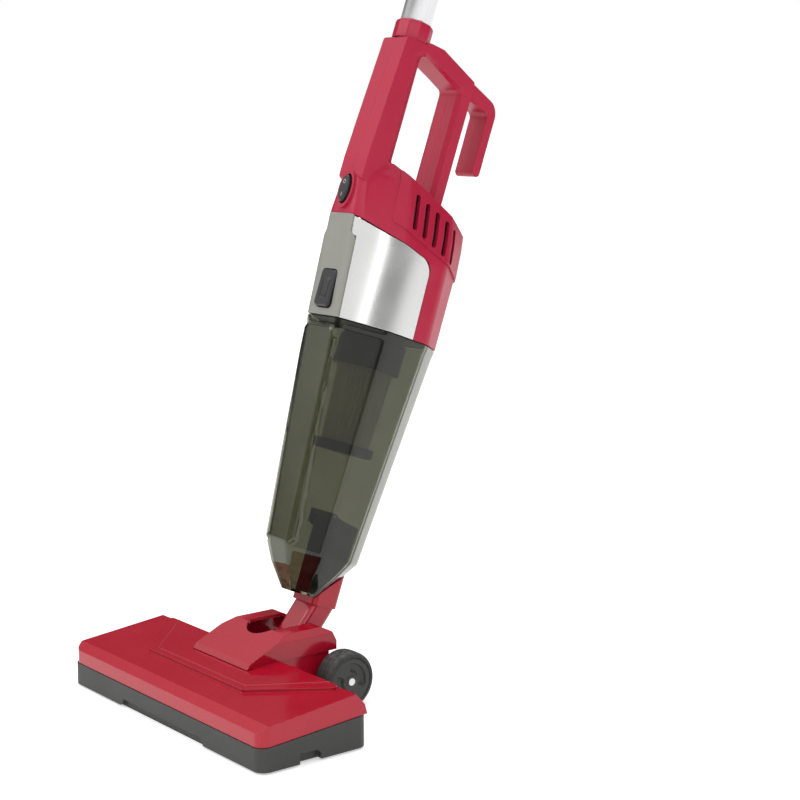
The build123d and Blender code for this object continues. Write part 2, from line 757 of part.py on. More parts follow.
with BuildPart() as filter_holder:
    add(ring_solid(filter_axis, holder_low, filter_top, holder_radius, pleat_top_radius + 0.3))
    add(ring_solid(filter_axis, filter_top - 4, filter_top, holder_radius, holder_neck - 3))
    add(ring_solid(filter_axis, filter_top - 0.1, rim_w + 2, holder_neck, holder_neck - 3))
finish(filter_holder.part, "filter_holder")


def star(radius):
    """A pleated ring's outline: points that alternate between two radii."""
    points = []
    for i in range(2 * pleat_count):
        reach = radius if i % 2 == 0 else radius - pleat_depth
        angle = math.pi * i / pleat_count
        points.append((reach * math.cos(angle), reach * math.sin(angle)))
    return outline(points)


with BuildPart() as filter_pleats:
    with BuildSketch(filter_axis.offset(disc_w)):
        add(star(pleat_low_radius))
    with BuildSketch(filter_axis.offset(filter_top - 4)):
        add(star(pleat_top_radius))
    loft(ruled=True)
    with BuildSketch(filter_axis.offset(disc_w)):
        Circle(pleat_low_radius - pleat_depth - 2)
    extrude(amount=filter_top - disc_w, mode=Mode.SUBTRACT)
finish(filter_pleats.part, "filter_pleats")

with BuildPart() as filter_cap:
    add(ring_solid(filter_axis, disc_w - disc_height, disc_w, disc_radius))
    chamfer(filter_cap.edges().filter_by(GeomType.CIRCLE).sort_by(Axis.Z)[0], 1.5)
finish(filter_cap.part, "filter_cap")

with BuildPart() as filter_seal:
    add(ring_solid(filter_axis, filter_top, rim_w - 0.2, holder_neck + 5, holder_neck + 0.2))
finish(filter_seal.part, "filter_seal")

# ---------------------------------------------------------------- motor unit outline
housing_levels = [
    (rim_w, 46.0, -54.0, 48.0, 14.0),
    (shroud_top_rear - 3, 43.5, -60.0, 49.0, 14.0),
    (shroud_top_front, 38.0, -63.0, 50.0, 13.0),
    (shoulder_front - 12, 26.0, -64.0, 50.0, 9.0),
    (shoulder_front + 4, 17.0, -64.0, 45.0, 6.5),
]
shoulder_cut = [
    (-90, rim_w - 5),
    (90, rim_w - 5),
    (90, shoulder_rear - 14),
    (50, shoulder_rear),
    (rail_front_rear, shoulder_front),
    (-90, shoulder_front),
]
housing_outer = stick_loft(housing_levels) & both_ways(side, outline(shoulder_cut), 80)
inner_levels = [list(level) for level in housing_levels]
inner_levels[0][0] -= 1.0
housing_inner = stick_loft(inner_levels, housing_wall) & both_ways(
    side, outline(shoulder_cut, 0, housing_wall), 80
)
shroud_region = [
    (-90, rim_w - 20),
    (shroud_rear, rim_w - 20),
    (shroud_rear, shroud_top_rear - 3.2),
    (-90, shroud_top_front + 4.6),
]
spine_region = [
    (-spine_half, rim_w - 20),
    (spine_half, rim_w - 20),
    (spine_half, spine_step - 2),
    (spine_top_half, spine_step + 3),
    (spine_top_half, shroud_top_front + 20),
    (-spine_top_half, shroud_top_front + 20),
    (-spine_top_half, spine_step + 3),
    (-spine_half, spine_step - 2),
]
seam = 0.3
shroud_cut = both_ways(side, outline(shroud_region, 10.0), 80)
shroud_room = both_ways(side, outline(shroud_region, 10.0, -seam), 80)
spine_cut = prism(front_view, outline(spine_region, 1.2), 30, 90)
spine_room = prism(front_view, outline(spine_region, 1.2, -seam), 30, 90)

with BuildPart(mode=Mode.PRIVATE) as button_hole:
    with BuildSketch(front_view.offset(30)):
        with Locations((0, button_w)):
            RectangleRounded(button_width + 2 * button_gap, button_height + 2 * button_gap, 4.0)
    extrude(amount=60)

recess_levels = [list(level) for level in housing_levels]
recess_levels[0][0] -= 1.0
spine_seat = stick_loft(recess_levels, spine_recess)

with BuildPart() as silver_shroud:
    add(housing_outer)
    add(housing_inner, mode=Mode.SUBTRACT)
    add(shroud_cut, mode=Mode.INTERSECT)
    add(spine_room - spine_seat, mode=Mode.SUBTRACT)
    add(button_hole.part, mode=Mode.SUBTRACT)
finish(silver_shroud.part, "silver_shroud")

with BuildPart() as front_spine:
    add(stick_loft(housing_levels, -spine_proud))
    add(spine_seat, mode=Mode.SUBTRACT)
    add(shroud_cut, mode=Mode.INTERSECT)
    add(spine_cut, mode=Mode.INTERSECT)
    add(button_hole.part, mode=Mode.SUBTRACT)
finish(front_spine.part, "front_spine")

button_face = -(54.0 + 6.0 * (button_w - rim_w) / (shroud_top_rear - 3 - rim_w))
with BuildPart() as release_button:
    with BuildSketch(front_view.offset(-button_face - 6)):
        with Locations((0, button_w)):
            RectangleRounded(button_width, button_height, 3.5)
    extrude(amount=9)
    chamfer(release_button.faces().sort_by(Axis.Y)[0].edges(), 1.2)
    latch_arm = [
        (button_face + 5.6, button_w - 8),
        (button_face + 7.6, button_w - 8),
        (button_face + 7.6, rim_w - 8),
        (button_face + 5.6, rim_w - 8),
    ]
    add(both_ways(side, outline(latch_arm), 5))
finish(release_button.part, "release_button")

with BuildPart() as button_spring:
    leaf = [
        (button_face + 9, button_w - 4),
        (button_face + 9.8, button_w - 4),
        (button_face + 9.8, button_w + 22),
        (button_face + 9, button_w + 22),
    ]
    add(both_ways(side, outline(leaf), 3.5))
finish(button_spring.part, "button_spring")

# ---------------------------------------------------------------- red housing and handle
handle_outline = [
    (handle_front_low, shoulder_front - 20),
    (handle_front_low, shoulder_front - 3),
    (handle_front_high, handle_top),
    (rail_front_rear + 5, handle_top + 3),
    (rail_front_rear + 18, handle_back_top),
    (rail_rear_back, handle_back_top - 13),
    (rail_rear_back, shoulder_rear - 3),
    (rail_front_rear, shoulder_front - 30),
]
window_outline = [
    (rail_front_rear, shoulder_front + 0.5),
    (rail_front_rear, window_top_front),
    (rail_rear_front, window_top_rear),
    (rail_rear_front, window_low_rear - 4),
]
window_flare = [
    (rail_front_rear - flare_front, shoulder_front - 8),
    (rail_front_rear - flare_front, window_top_front + flare_rest),
    (rail_rear_front + flare_rest, window_top_rear + flare_rest),
    (rail_rear_front + flare_rest, window_low_rear - 20),
]
hook_leg = hook_out - hook_in
hook_corners = [
    (rail_rear_back - 3, handle_back_top - 11.5, 0),
    (hook_out, handle_back_top - 22, hook_corner),
    (hook_out, hook_tip, hook_leg / 2 - 0.2),
    (hook_in, hook_tip, hook_leg / 2 - 0.2),
    (hook_in, handle_back_top - 30, hook_corner - hook_leg),
    (rail_rear_back - 3, handle_back_top - 27, 0),
]
tube_axis = Plane(origin=stick_point(0, tube_u, 0), x_dir=(1, 0, 0), z_dir=stick.z_dir)
gland_plane = Plane(origin=stick_point(0, 0, gland_w), x_dir=(1, 0, 0), z_dir=side.x_dir)
rocker_plane = Plane(
    origin=stick_point(0, handle_front_low + 1.0, rocker_w), x_dir=(0, 1, 0), z_dir=(1, 0, 0)
)
handle_screws = [(-50, 425), (-50, 470), (15, 400), (15, 460), (0, 487)]
head_depth = 3.0

with BuildPart(mode=Mode.PRIVATE) as handle:
    add(both_ways(side, outline(handle_outline, 3.0), handle_half))
    add(both_ways(side, rounded(hook_corners), handle_half - 4))
    add(both_ways(side, outline(window_outline, 5.0), 40), mode=Mode.SUBTRACT)
    for sign in (-1, 1):
        with BuildSketch(side.offset(sign * (handle_half - flare_depth))):
            add(outline(window_outline, 5.0))
        with BuildSketch(side.offset(sign * (handle_half + 0.5))):
            add(outline(window_flare, 8.0))
        loft(mode=Mode.SUBTRACT)

vent_panel = [
    (vent_first_u - 15, vent_first_w + 30),
    (vent_first_u - 20, vent_first_w - 13),
    (vent_first_u + 84, vent_first_w - 45),
    (vent_first_u + 84, vent_first_w + 30),
]
with BuildPart(mode=Mode.PRIVATE) as housing:
    add(housing_outer)
    add(
        stick_loft(housing_levels, -vent_panel_rise)
        & both_ways(side, outline(vent_panel, 3.0), 80)
        & both_ways(side, outline(shoulder_cut), 80)
    )
    add(housing_inner, mode=Mode.SUBTRACT)
    add(shroud_room, mode=Mode.SUBTRACT)
    add(handle.part)
    with BuildSketch(front_view.offset(-handle_front_low - 4)):
        with Locations((0, rocker_w)):
            Ellipse(rocker_half_width + 3.5, rocker_length / 2 + 4.5)
    extrude(amount=5.5)
    add(housing_inner, mode=Mode.SUBTRACT)
    with BuildSketch(front_view.offset(20)):
        with Locations((0, rocker_w)):
            Ellipse(rocker_half_width + rocker_gap, rocker_length / 2 + rocker_gap)
    extrude(amount=80, mode=Mode.SUBTRACT)
    add(ring_solid(tube_axis, tube_low, handle_top + 20, tube_radius + tube_fit), mode=Mode.SUBTRACT)
    add(ring_solid(tube_axis, handle_top + 0.3, handle_top + 20, collar_radius + 0.4), mode=Mode.SUBTRACT)
    for index in range(vent_count):
        vent_u = vent_first_u + index * vent_pitch
        vent_w = vent_first_w - index * vent_drop
        with BuildSketch(side.offset(-80)):
            with Locations((vent_u, vent_w)):
                SlotOverall(vent_length, vent_width, rotation=84)
        extrude(amount=65, mode=Mode.SUBTRACT)
        with BuildSketch(side.offset(15)):
            with Locations((vent_u, vent_w)):
                SlotOverall(vent_length, vent_width, rotation=84)
        extrude(amount=65, mode=Mode.SUBTRACT)
    add(ring_solid(gland_plane, 20, 90, 6.6), mode=Mode.SUBTRACT)
    for u, w in handle_screws:
        spot = Plane(origin=stick_point(0, u, w), x_dir=(0, 1, 0), z_dir=(1, 0, 0))
        head_room = screw_head_radius + 0.3
        add(ring_solid(spot, -handle_half - 1, -handle_half + head_depth, head_room), mode=Mode.SUBTRACT)
        add(ring_solid(spot, -handle_half, handle_half - 4, screw_radius), mode=Mode.SUBTRACT)

middle = Plane(origin=(0, 0, 0), x_dir=(0, 1, 0), z_dir=(1, 0, 0))
with BuildPart() as housing_right:
    add(housing.part)
    split(bisect_by=middle, keep=Keep.TOP)
finish(housing_right.part, "housing_right")
with BuildPart() as housing_left:
    add(housing.part)
    split(bisect_by=middle, keep=Keep.BOTTOM)
finish(housing_left.part, "housing_left")

with BuildPart() as housing_screws:
    for u, w in handle_screws:
        spot = Plane(origin=stick_point(0, u, w), x_dir=(0, 1, 0), z_dir=(1, 0, 0))
        add(ring_solid(spot, -handle_half + head_depth - 2, -handle_half + head_depth, screw_head_radius))
        add(ring_solid(spot, -handle_half + head_depth, handle_half - 5, screw_radius))
finish(housing_screws.part, "housing_screws")

with BuildPart() as collar:
    add(ring_solid(tube_axis, handle_top + 0.5, collar_top, collar_radius, tube_radius + tube_fit))
    chamfer(collar.edges().filter_by(GeomType.CIRCLE).sort_by(Axis.Z)[-1], 1.0)
finish(collar.part, "collar")

vent_last_u = vent_first_u + (vent_count - 1) * vent_pitch
vent_last_w = vent_first_w - (vent_count - 1) * vent_drop
foam = [
    (vent_first_u - 9, vent_first_w - 16),
    (vent_first_u - 9, vent_first_w + 16),
    (vent_last_u + 6, vent_last_w + 11),
    (vent_last_u + 6, vent_last_w - 16),
]
for side_name, low in (("left", -21.5), ("right", 17.5)):
    with BuildPart() as exhaust_foam:
        add(prism(side, outline(foam), low, low + 4))
    finish(exhaust_foam.part, f"exhaust_foam_{side_name}")

with BuildPart() as cord_gland:
    add(ring_solid(gland_plane, 42, 51, 6.4, cord_radius))
    add(ring_solid(gland_plane, 50, 54, 9.0, cord_radius))
finish(cord_gland.part, "cord_gland")

with BuildPart() as power_rocker:
    with BuildSketch(front_view.offset(-handle_front_low - 4)):
        with Locations((0, rocker_w)):
            Ellipse(rocker_half_width, rocker_length / 2)
    extrude(amount=8)
    chamfer(power_rocker.faces().sort_by(Axis.Y)[0].edges(), 1.0)
    add(ring_solid(rocker_plane, -20, 20, 1.2 + running_gap), mode=Mode.SUBTRACT)
finish(power_rocker.part, "power_rocker")

with BuildPart() as switch_body:
    switch_outline = [
        (handle_front_low + 5.5, rocker_w - 12),
        (handle_front_low + 20, rocker_w - 12),
        (handle_front_low + 20, rocker_w + 12),
        (handle_front_low + 5.5, rocker_w + 12),
    ]
    add(both_ways(side, outline(switch_outline), 7))
    switch_ear = [
        (handle_front_low - 0.6, rocker_w - 1.6),
        (handle_front_low + 7, rocker_w - 4),
        (handle_front_low + 7, rocker_w + 4),
        (handle_front_low - 0.6, rocker_w + 1.6),
    ]
    for low in (-6.6, 5.8):
        add(prism(side, outline(switch_ear), low, low + 0.8))
    add(ring_solid(rocker_plane, -6.6, 6.6, 1.2))
finish(switch_body.part, "switch_body")

# ---------------------------------------------------------------- motor
motor_axis = Plane(origin=stick_point(0, motor_u, 0), x_dir=(1, 0, 0), z_dir=stick.z_dir)
fan_high = fan_low + fan_height
post_reach = stator_radius + 3.4
stator_high = stator_low + stator_height

with BuildPart() as intake_plate:
    with BuildSketch(stick.offset(rim_w)):
        add(stick_face(46.0, -54.0, 48.0, 14.0, housing_wall + 0.4))
        with Locations((0, filter_u)):
            Circle(intake_hole, mode=Mode.SUBTRACT)
    extrude(amount=3)
    front_clear = [
        (-spine_half, -90),
        (spine_half, -90),
        (spine_half, button_face + 11),
        (-spine_half, button_face + 11),
    ]
    add(prism(stick, outline(front_clear), rim_w - 5, rim_w + 10), mode=Mode.SUBTRACT)
finish(intake_plate.part, "intake_plate")

with BuildPart() as cup_seal:
    with BuildSketch(stick.offset(rim_w - rim_gap + 0.15)):
        add(stick_face(46.0, -54.0, 48.0, 14.0, housing_wall + 1.0))
        add(stick_face(46.0, -54.0, 48.0, 14.0, housing_wall + 4.0), mode=Mode.SUBTRACT)
    extrude(amount=rim_gap - 0.15)
    add(prism(stick, outline(front_clear), rim_w - 5, rim_w + 10), mode=Mode.SUBTRACT)
finish(cup_seal.part, "cup_seal")

with BuildPart() as lower_mount:
    add(ring_solid(motor_axis, rim_w + 3, fan_low, fan_radius - 1, fan_radius - 7))
finish(lower_mount.part, "lower_motor_mount")

with BuildPart() as fan_cover:
    add(ring_solid(motor_axis, fan_low, fan_high, fan_radius))
    add(ring_solid(motor_axis, fan_low + fan_wall, fan_high + 1, fan_radius - fan_wall), mode=Mode.SUBTRACT)
    add(ring_solid(motor_axis, fan_low - 1, fan_low + 3, 12), mode=Mode.SUBTRACT)
finish(fan_cover.part, "fan_cover")

with BuildPart() as motor_bracket:
    add(ring_solid(motor_axis, fan_high, fan_high + 2.5, fan_radius, bearing_radius))
    add(ring_solid(motor_axis, fan_high + 2.5, fan_high + 5, bearing_radius + 2.5, bearing_radius))
    with BuildSketch(motor_axis.offset(fan_high + 2.5)):
        with PolarLocations(post_reach, 4, start_angle=45):
            Circle(3.0)
    extrude(amount=stator_high + 4 - fan_high - 2.5)
    with BuildSketch(motor_axis.offset(stator_high + 4)):
        for angle in (45, 135):
            Rectangle(2 * post_reach + 6, 16, rotation=angle)
        Circle(bearing_radius, mode=Mode.SUBTRACT)
    extrude(amount=bearing_height)
finish(motor_bracket.part, "motor_bracket")

with BuildPart() as stator_core:
    add(ring_solid(motor_axis, stator_low, stator_high, stator_radius, stator_bore))
finish(stator_core.part, "stator_core")

with BuildPart() as stator_windings:
    for low in (stator_low - 2.4, stator_high + 0.2):
        add(ring_solid(motor_axis, low, low + 2.2, stator_radius - 3, stator_bore + 2))
finish(stator_windings.part, "stator_windings")

shaft_bore = shaft_radius + running_gap
upper_bearing = stator_high + 4
with BuildPart() as bearings:
    for low in (fan_high - 0.5, upper_bearing):
        add(ring_solid(motor_axis, low, low + bearing_height, bearing_radius, shaft_bore))
finish(bearings.part, "motor_bearings")

upper_mount_low = upper_bearing + bearing_height
with BuildPart() as upper_mount:
    add(ring_solid(motor_axis, upper_mount_low, shaft_top + 4, bearing_radius + 3, shaft_radius + 1.5))
finish(upper_mount.part, "upper_motor_mount")

with BuildPart() as rotor_shaft:
    add(ring_solid(motor_axis, fan_low + 3, shaft_top, shaft_radius))
finish(rotor_shaft.part, "rotor_shaft")

with BuildPart() as armature:
    add(ring_solid(motor_axis, stator_low + 1, stator_high - 1, armature_radius, shaft_radius))
finish(armature.part, "armature")

with BuildPart() as impeller:
    add(ring_solid(motor_axis, fan_low + 4, fan_low + 5.2, impeller_radius, 12.5))
    add(ring_solid(motor_axis, fan_low + 13, fan_low + 14.5, impeller_radius, shaft_radius))
    with BuildSketch(motor_axis.offset(fan_low + 4.5)):
        with PolarLocations(22, blade_count):
            Rectangle(20, 1.4, rotation=25)
    extrude(amount=9)
finish(impeller.part, "impeller")

# ---------------------------------------------------------------- tube, grip and upper hook
with BuildPart() as tube:
    add(ring_solid(tube_axis, tube_low + 0.3, tube_top, tube_radius, tube_radius - tube_wall))
finish(tube.part, "tube")

with BuildPart() as grip:
    grip_side = Plane(origin=tube_axis.origin, x_dir=side.x_dir, z_dir=(1, 0, 0))
    with BuildSketch(grip_side):
        with BuildLine():
            Polyline(
                (grip_nose, grip_top),
                (0, grip_top),
                (0, grip_low),
                (grip_radius + 1.5, grip_low),
                (grip_radius + 1.5, grip_low + 6),
                (grip_radius - 0.5, grip_low + 14),
            )
            ThreePointArc(
                (grip_radius - 0.5, grip_low + 14),
                (grip_radius + 1.5, (grip_low + grip_top) / 2),
                (grip_radius - 0.5, grip_top - 12),
            )
            ThreePointArc(
                (grip_radius - 0.5, grip_top - 12),
                (grip_radius - 4, grip_top - 4),
                (grip_nose, grip_top),
            )
        make_face()
    revolve(axis=Axis(origin=tube_axis.origin, direction=tube_axis.z_dir))
    add(ring_solid(tube_axis, grip_low - 1, tube_top, tube_radius), mode=Mode.SUBTRACT)
finish(grip.part, "hand_grip")

upper_hook_outline = [
    (tube_u + tube_radius - 1, upper_hook_w - 8),
    (tube_u + 42, upper_hook_w + 6),
    (tube_u + 52, upper_hook_w + 18),
    (tube_u + 52, upper_hook_w + 52),
    (tube_u + 44, upper_hook_w + 54),
    (tube_u + 44, upper_hook_w + 22),
    (tube_u + 36, upper_hook_w + 15),
    (tube_u + tube_radius - 1, upper_hook_w + 12),
]
with BuildPart() as upper_hook:
    add(both_ways(side, outline(upper_hook_outline, 2.0), 8))
    add(ring_solid(tube_axis, upper_hook_w - 13, upper_hook_w + 13, tube_radius + 3.5))
    add(ring_solid(tube_axis, upper_hook_w - 20, upper_hook_w + 20, tube_radius), mode=Mode.SUBTRACT)
finish(upper_hook.part, "upper_cord_hook")
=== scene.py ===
"""Upright stick vacuum cleaner: its visible pieces, their finishes and a plain studio."""
import json
import math

import bmesh
import bpy
import numpy as np
from bpy.props import FloatProperty, FloatVectorProperty, IntProperty, PointerProperty
from mathutils import Matrix, Vector
from mathutils.bvhtree import BVHTree


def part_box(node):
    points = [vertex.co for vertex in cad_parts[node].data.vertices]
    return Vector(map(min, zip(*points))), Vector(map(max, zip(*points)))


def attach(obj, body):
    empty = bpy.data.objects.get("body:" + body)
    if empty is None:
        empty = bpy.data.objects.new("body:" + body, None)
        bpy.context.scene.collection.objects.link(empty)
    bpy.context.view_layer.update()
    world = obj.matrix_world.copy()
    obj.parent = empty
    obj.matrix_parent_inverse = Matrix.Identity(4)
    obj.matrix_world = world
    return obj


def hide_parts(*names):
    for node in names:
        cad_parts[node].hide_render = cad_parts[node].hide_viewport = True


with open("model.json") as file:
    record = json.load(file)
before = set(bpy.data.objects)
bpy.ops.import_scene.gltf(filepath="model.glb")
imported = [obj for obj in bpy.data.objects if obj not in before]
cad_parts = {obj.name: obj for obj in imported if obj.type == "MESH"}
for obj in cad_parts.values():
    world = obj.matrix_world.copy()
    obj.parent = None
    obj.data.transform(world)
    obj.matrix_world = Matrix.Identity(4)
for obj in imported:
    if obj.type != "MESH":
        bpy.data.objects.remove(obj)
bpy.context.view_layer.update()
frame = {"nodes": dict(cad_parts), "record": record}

bl_info = {
    "name": "Stick Vacuum Cleaner",
    "version": (1, 0, 0),
    "blender": (4, 5, 0),
    "location": "View3D > Sidebar > Vacuum",
    "description": "Builds the visible pieces and finishes of a stick vacuum cleaner",
    "category": "Object",
}

NODES = frame["nodes"]
JOINTS = {joint["name"]: joint for joint in frame["record"]["behaviour"]["joints"]}
SLOT_OF = {part["node"]: part["material_slot"] for part in frame["record"]["subparts"]}
BODY_OF = {
    node: body for body, members in frame["record"]["behaviour"]["bodies"].items() for node in members
}
PIVOT = np.array(JOINTS["neck_tilt"]["pos_m"])
STICK = np.array(JOINTS["motor_lift"]["axis"])
BACK = np.array(JOINTS["button_press"]["axis"])
RIGHT = np.array((1.0, 0.0, 0.0))


# ---- sizes and colours to change
class NozzleLooks(bpy.types.PropertyGroup):
    """Sizes and colours of the floor nozzle."""

    red: FloatVectorProperty(
        name="Nozzle red", description="Colour of the glossy red shells",
        subtype="COLOR", size=3, min=0, max=1, default=(0.36, 0.003, 0.018),
    )
    base: FloatVectorProperty(
        name="Base colour", description="Colour of the matte base and wheels",
        subtype="COLOR", size=3, min=0, max=1, default=(0.026, 0.027, 0.025),
    )
    edge: FloatProperty(
        name="Shell edge", description="Rounding of the shells' edges",
        subtype="DISTANCE", min=0.0001, max=0.004, default=0.0016,
    )
    tread_grooves: IntProperty(
        name="Tyre grooves", description="Grooves round each tyre", min=0, max=8, default=3,
    )


class StickLooks(bpy.types.PropertyGroup):
    """Sizes and colours of the stick: cup, filter, motor unit, handle and tube."""

    red: FloatVectorProperty(
        name="Housing red", description="Colour of the satin red housing",
        subtype="COLOR", size=3, min=0, max=1, default=(0.38, 0.006, 0.036),
    )
    silver: FloatVectorProperty(
        name="Silver", description="Colour of the metallic shroud",
        subtype="COLOR", size=3, min=0, max=1, default=(0.60, 0.60, 0.59),
    )
    spine: FloatVectorProperty(
        name="Spine grey", description="Colour of the front spine",
        subtype="COLOR", size=3, min=0, max=1, default=(0.235, 0.235, 0.21),
    )
    cup: FloatVectorProperty(
        name="Cup tint", description="Tint of the clear dust cup",
        subtype="COLOR", size=3, min=0, max=1, default=(0.205, 0.21, 0.15),
    )
    paper: FloatVectorProperty(
        name="Filter paper", description="Colour of the pleated filter",
        subtype="COLOR", size=3, min=0, max=1, default=(0.62, 0.59, 0.42),
    )
    edge: FloatProperty(
        name="Housing edge", description="Rounding of the housing's edges",
        subtype="DISTANCE", min=0.0001, max=0.004, default=0.0012,
    )
    pleats: IntProperty(
        name="Pleats", description="Folds round the filter", min=8, max=80, default=36,
    )


# ---- mesh helpers
def at_stick(x, u, w):
    """World points from x to the right, u towards the back and w along the stick: P + xR + uB + wS."""
    x, u, w = np.broadcast_arrays(x, u, w)
    return PIVOT + x[..., None] * RIGHT + u[..., None] * BACK + w[..., None] * STICK


def full_turn(count):
    """Evenly spaced angles once round, starting at 0."""
    return np.linspace(0, 2 * np.pi, count, endpoint=False)


def in_stick(mesh):
    """A mesh's points in the stick's own axes, as rows of (x, u, w)."""
    points = np.empty(3 * len(mesh.vertices))
    mesh.vertices.foreach_get("co", points)
    return (points.reshape(-1, 3) - PIVOT) @ np.stack((RIGHT, BACK, STICK), axis=1)


def stick_extent(node):
    """Lowest and highest (x, u, w) of a node's points in the stick's own axes."""
    local = in_stick(NODES[node].data)
    return local.min(axis=0), local.max(axis=0)


def turned_node(node):
    """Lowest and highest height of a round node, its radius and a point on its axis."""
    low, high = stick_extent(node)
    return low[2], high[2], (high[0] - low[0]) / 2, at_stick(0.0, (low[1] + high[1]) / 2, 0.0)


def grid_shell(points, wrap_rows=False, wrap_cols=True, caps=False):
    """Quads between neighbours of a rows by columns grid of points, closed round as asked."""
    rows, cols = points.shape[:2]
    i = np.arange(rows if wrap_rows else rows - 1)[:, None]
    j = np.arange(cols if wrap_cols else cols - 1)[None, :]
    i_next, j_next = (i + 1) % rows, (j + 1) % cols
    corners = (i * cols + j, i * cols + j_next, i_next * cols + j_next, i_next * cols + j)
    faces = np.stack([np.broadcast_to(c, (i.size, j.size)) for c in corners], axis=-1)
    faces = faces.reshape(-1, 4).tolist()
    if caps:
        faces.append(list(range(cols)))
        faces.append([(rows - 1) * cols + c for c in range(cols)])
    return points.reshape(-1, 3), faces


def revolved(profile, origin, axis, segments=64, ring=False):
    """A profile of (radius, height) turned about an axis: O + hA + r(cos t E + sin t F)."""
    axis = np.asarray(axis, dtype=float)
    across = RIGHT if abs(axis @ RIGHT) < 0.9 else np.array((0.0, 1.0, 0.0))
    first = across - axis * (across @ axis)
    first /= np.linalg.norm(first)
    second = np.cross(axis, first)
    turn = full_turn(segments)
    spokes = np.cos(turn)[:, None] * first + np.sin(turn)[:, None] * second
    profile = np.asarray(profile, dtype=float)
    points = origin + profile[:, 1, None, None] * axis + profile[:, 0, None, None] * spokes
    return grid_shell(points, wrap_rows=ring, caps=not ring)


# an outline's eight corners as shares of its half width, front and rear
FRONT_SHARE, REAR_SHARE = 0.46, 0.55
SIDE_FRONT_SHARE, SIDE_REAR_SHARE = 0.38, 0.42
ARC_POINTS = 9


def stick_sections(levels, heights, columns):
    """Rounded eight-sided outlines at many heights, as (x, u) arrays of rows by columns.

    Half width, front, rear and corner radius are straight lines between the given levels. Each
    corner of the outline is an arc between its tangent points, and the points are spread along
    the outline by its length, starting in the middle of the front.
    """
    levels = np.asarray(levels, dtype=float)
    half, front, rear, radius = (np.interp(heights, levels[:, 0], levels[:, k]) for k in range(1, 5))
    right_side = (
        (FRONT_SHARE * half, front), (half, SIDE_FRONT_SHARE * front),
        (half, SIDE_REAR_SHARE * rear), (REAR_SHARE * half, rear),
    )
    left_side = tuple((-x, u) for x, u in reversed(right_side))
    corners = np.stack([np.stack(pair, axis=-1) for pair in right_side + left_side], axis=1)
    before = np.roll(corners, 1, axis=1) - corners
    after = np.roll(corners, -1, axis=1) - corners
    before /= np.linalg.norm(before, axis=-1, keepdims=True)
    after /= np.linalg.norm(after, axis=-1, keepdims=True)
    inward = before + after
    inward /= np.linalg.norm(inward, axis=-1, keepdims=True)
    half_angle = np.arccos(np.clip((before * after).sum(axis=-1), -1, 1)) / 2
    reach = radius[:, None] / np.tan(half_angle)
    share = np.linspace(0, 1, ARC_POINTS)[:, None]
    arcs = []
    for k in range(corners.shape[1]):
        centre = corners[:, k] + inward[:, k] * (radius / np.sin(half_angle[:, k]))[:, None]
        start = corners[:, k] + before[:, k] * reach[:, k, None] - centre
        end = corners[:, k] + after[:, k] * reach[:, k, None] - centre
        chord = start[:, None] * (1 - share) + end[:, None] * share
        chord *= radius[:, None, None] / np.linalg.norm(chord, axis=-1, keepdims=True)
        arcs.append(centre[:, None] + chord)
    loop = np.concatenate(arcs, axis=1)
    middle = (loop[:, -1:] + loop[:, :1]) / 2
    loop = np.concatenate((middle, loop, middle), axis=1)
    lengths = np.linalg.norm(np.diff(loop, axis=1), axis=-1)
    places = np.concatenate((np.zeros((len(heights), 1)), np.cumsum(lengths, axis=1)), axis=1)
    out = np.empty((len(heights), columns, 2))
    spread_at = np.linspace(0, 1, columns, endpoint=False)
    for row in range(len(heights)):
        at = spread_at * places[row, -1]
        for k in range(2):
            out[row, :, k] = np.interp(at, places[row], loop[row, :, k])
    return out[..., 0], out[..., 1]


def outward(x, u):
    """Unit normals of closed outlines, from the difference of each point's two neighbours."""
    step_x = np.roll(x, -1, axis=1) - np.roll(x, 1, axis=1)
    step_u = np.roll(u, -1, axis=1) - np.roll(u, 1, axis=1)
    size = np.hypot(step_x, step_u)
    return step_u / size, -step_x / size


def smooth_step(value, low, high):
    """0 below low, 1 above high, and 3s^2 - 2s^3 between."""
    s = np.clip((value - low) / (high - low), 0, 1)
    return s * s * (3 - 2 * s)


def turn_outwards(mesh):
    """Flips an open surface whose normals mostly point at its middle."""
    centre = sum((v.co for v in mesh.vertices), Vector()) / len(mesh.vertices)
    total = sum((p.center - centre).dot(p.normal) * p.area for p in mesh.polygons)
    if total < 0:
        mesh.flip_normals()


def thicken(made, thickness, edge):
    """Gives an open surface a wall inwards and rounds its rims, unless the edge is 0."""
    wall = made.modifiers.new("wall", "SOLIDIFY")
    wall.thickness = thickness
    wall.offset = -1.0
    wall.use_even_offset = True
    wall.use_quality_normals = True
    if edge:
        rim = made.modifiers.new("rim", "BEVEL")
        rim.width = edge
        rim.segments = 2
        rim.limit_method = "ANGLE"
        rim.angle_limit = math.radians(50)
    return made


def smooth_facing(made, facing):
    """Own normals for a settled mesh: facing(local points, present normals) gives the new ones."""
    mesh = made.data
    normals = np.empty(3 * len(mesh.vertices))
    mesh.vertices.foreach_get("normal", normals)
    turned = facing(in_stick(mesh), normals.reshape(-1, 3))
    mesh.normals_split_custom_set_from_vertices(turned.tolist())


def shade(mesh, sharp):
    """Shades a mesh smooth where its faces meet at less than an angle in degrees."""
    mesh.polygons.foreach_set("use_smooth", [True] * len(mesh.polygons))
    mesh.set_sharp_from_angle(angle=math.radians(sharp))


def settle(made, sharp=35.0):
    """Replaces a piece's mesh by its mesh with every modifier applied."""
    depsgraph = bpy.context.evaluated_depsgraph_get()
    mesh = bpy.data.meshes.new_from_object(made.evaluated_get(depsgraph))
    made.modifiers.clear()
    made.data = mesh
    shade(mesh, sharp)


def add_object(name, data):
    """A new object in the scene."""
    made = bpy.data.objects.new(name, data)
    bpy.context.scene.collection.objects.link(made)
    return made


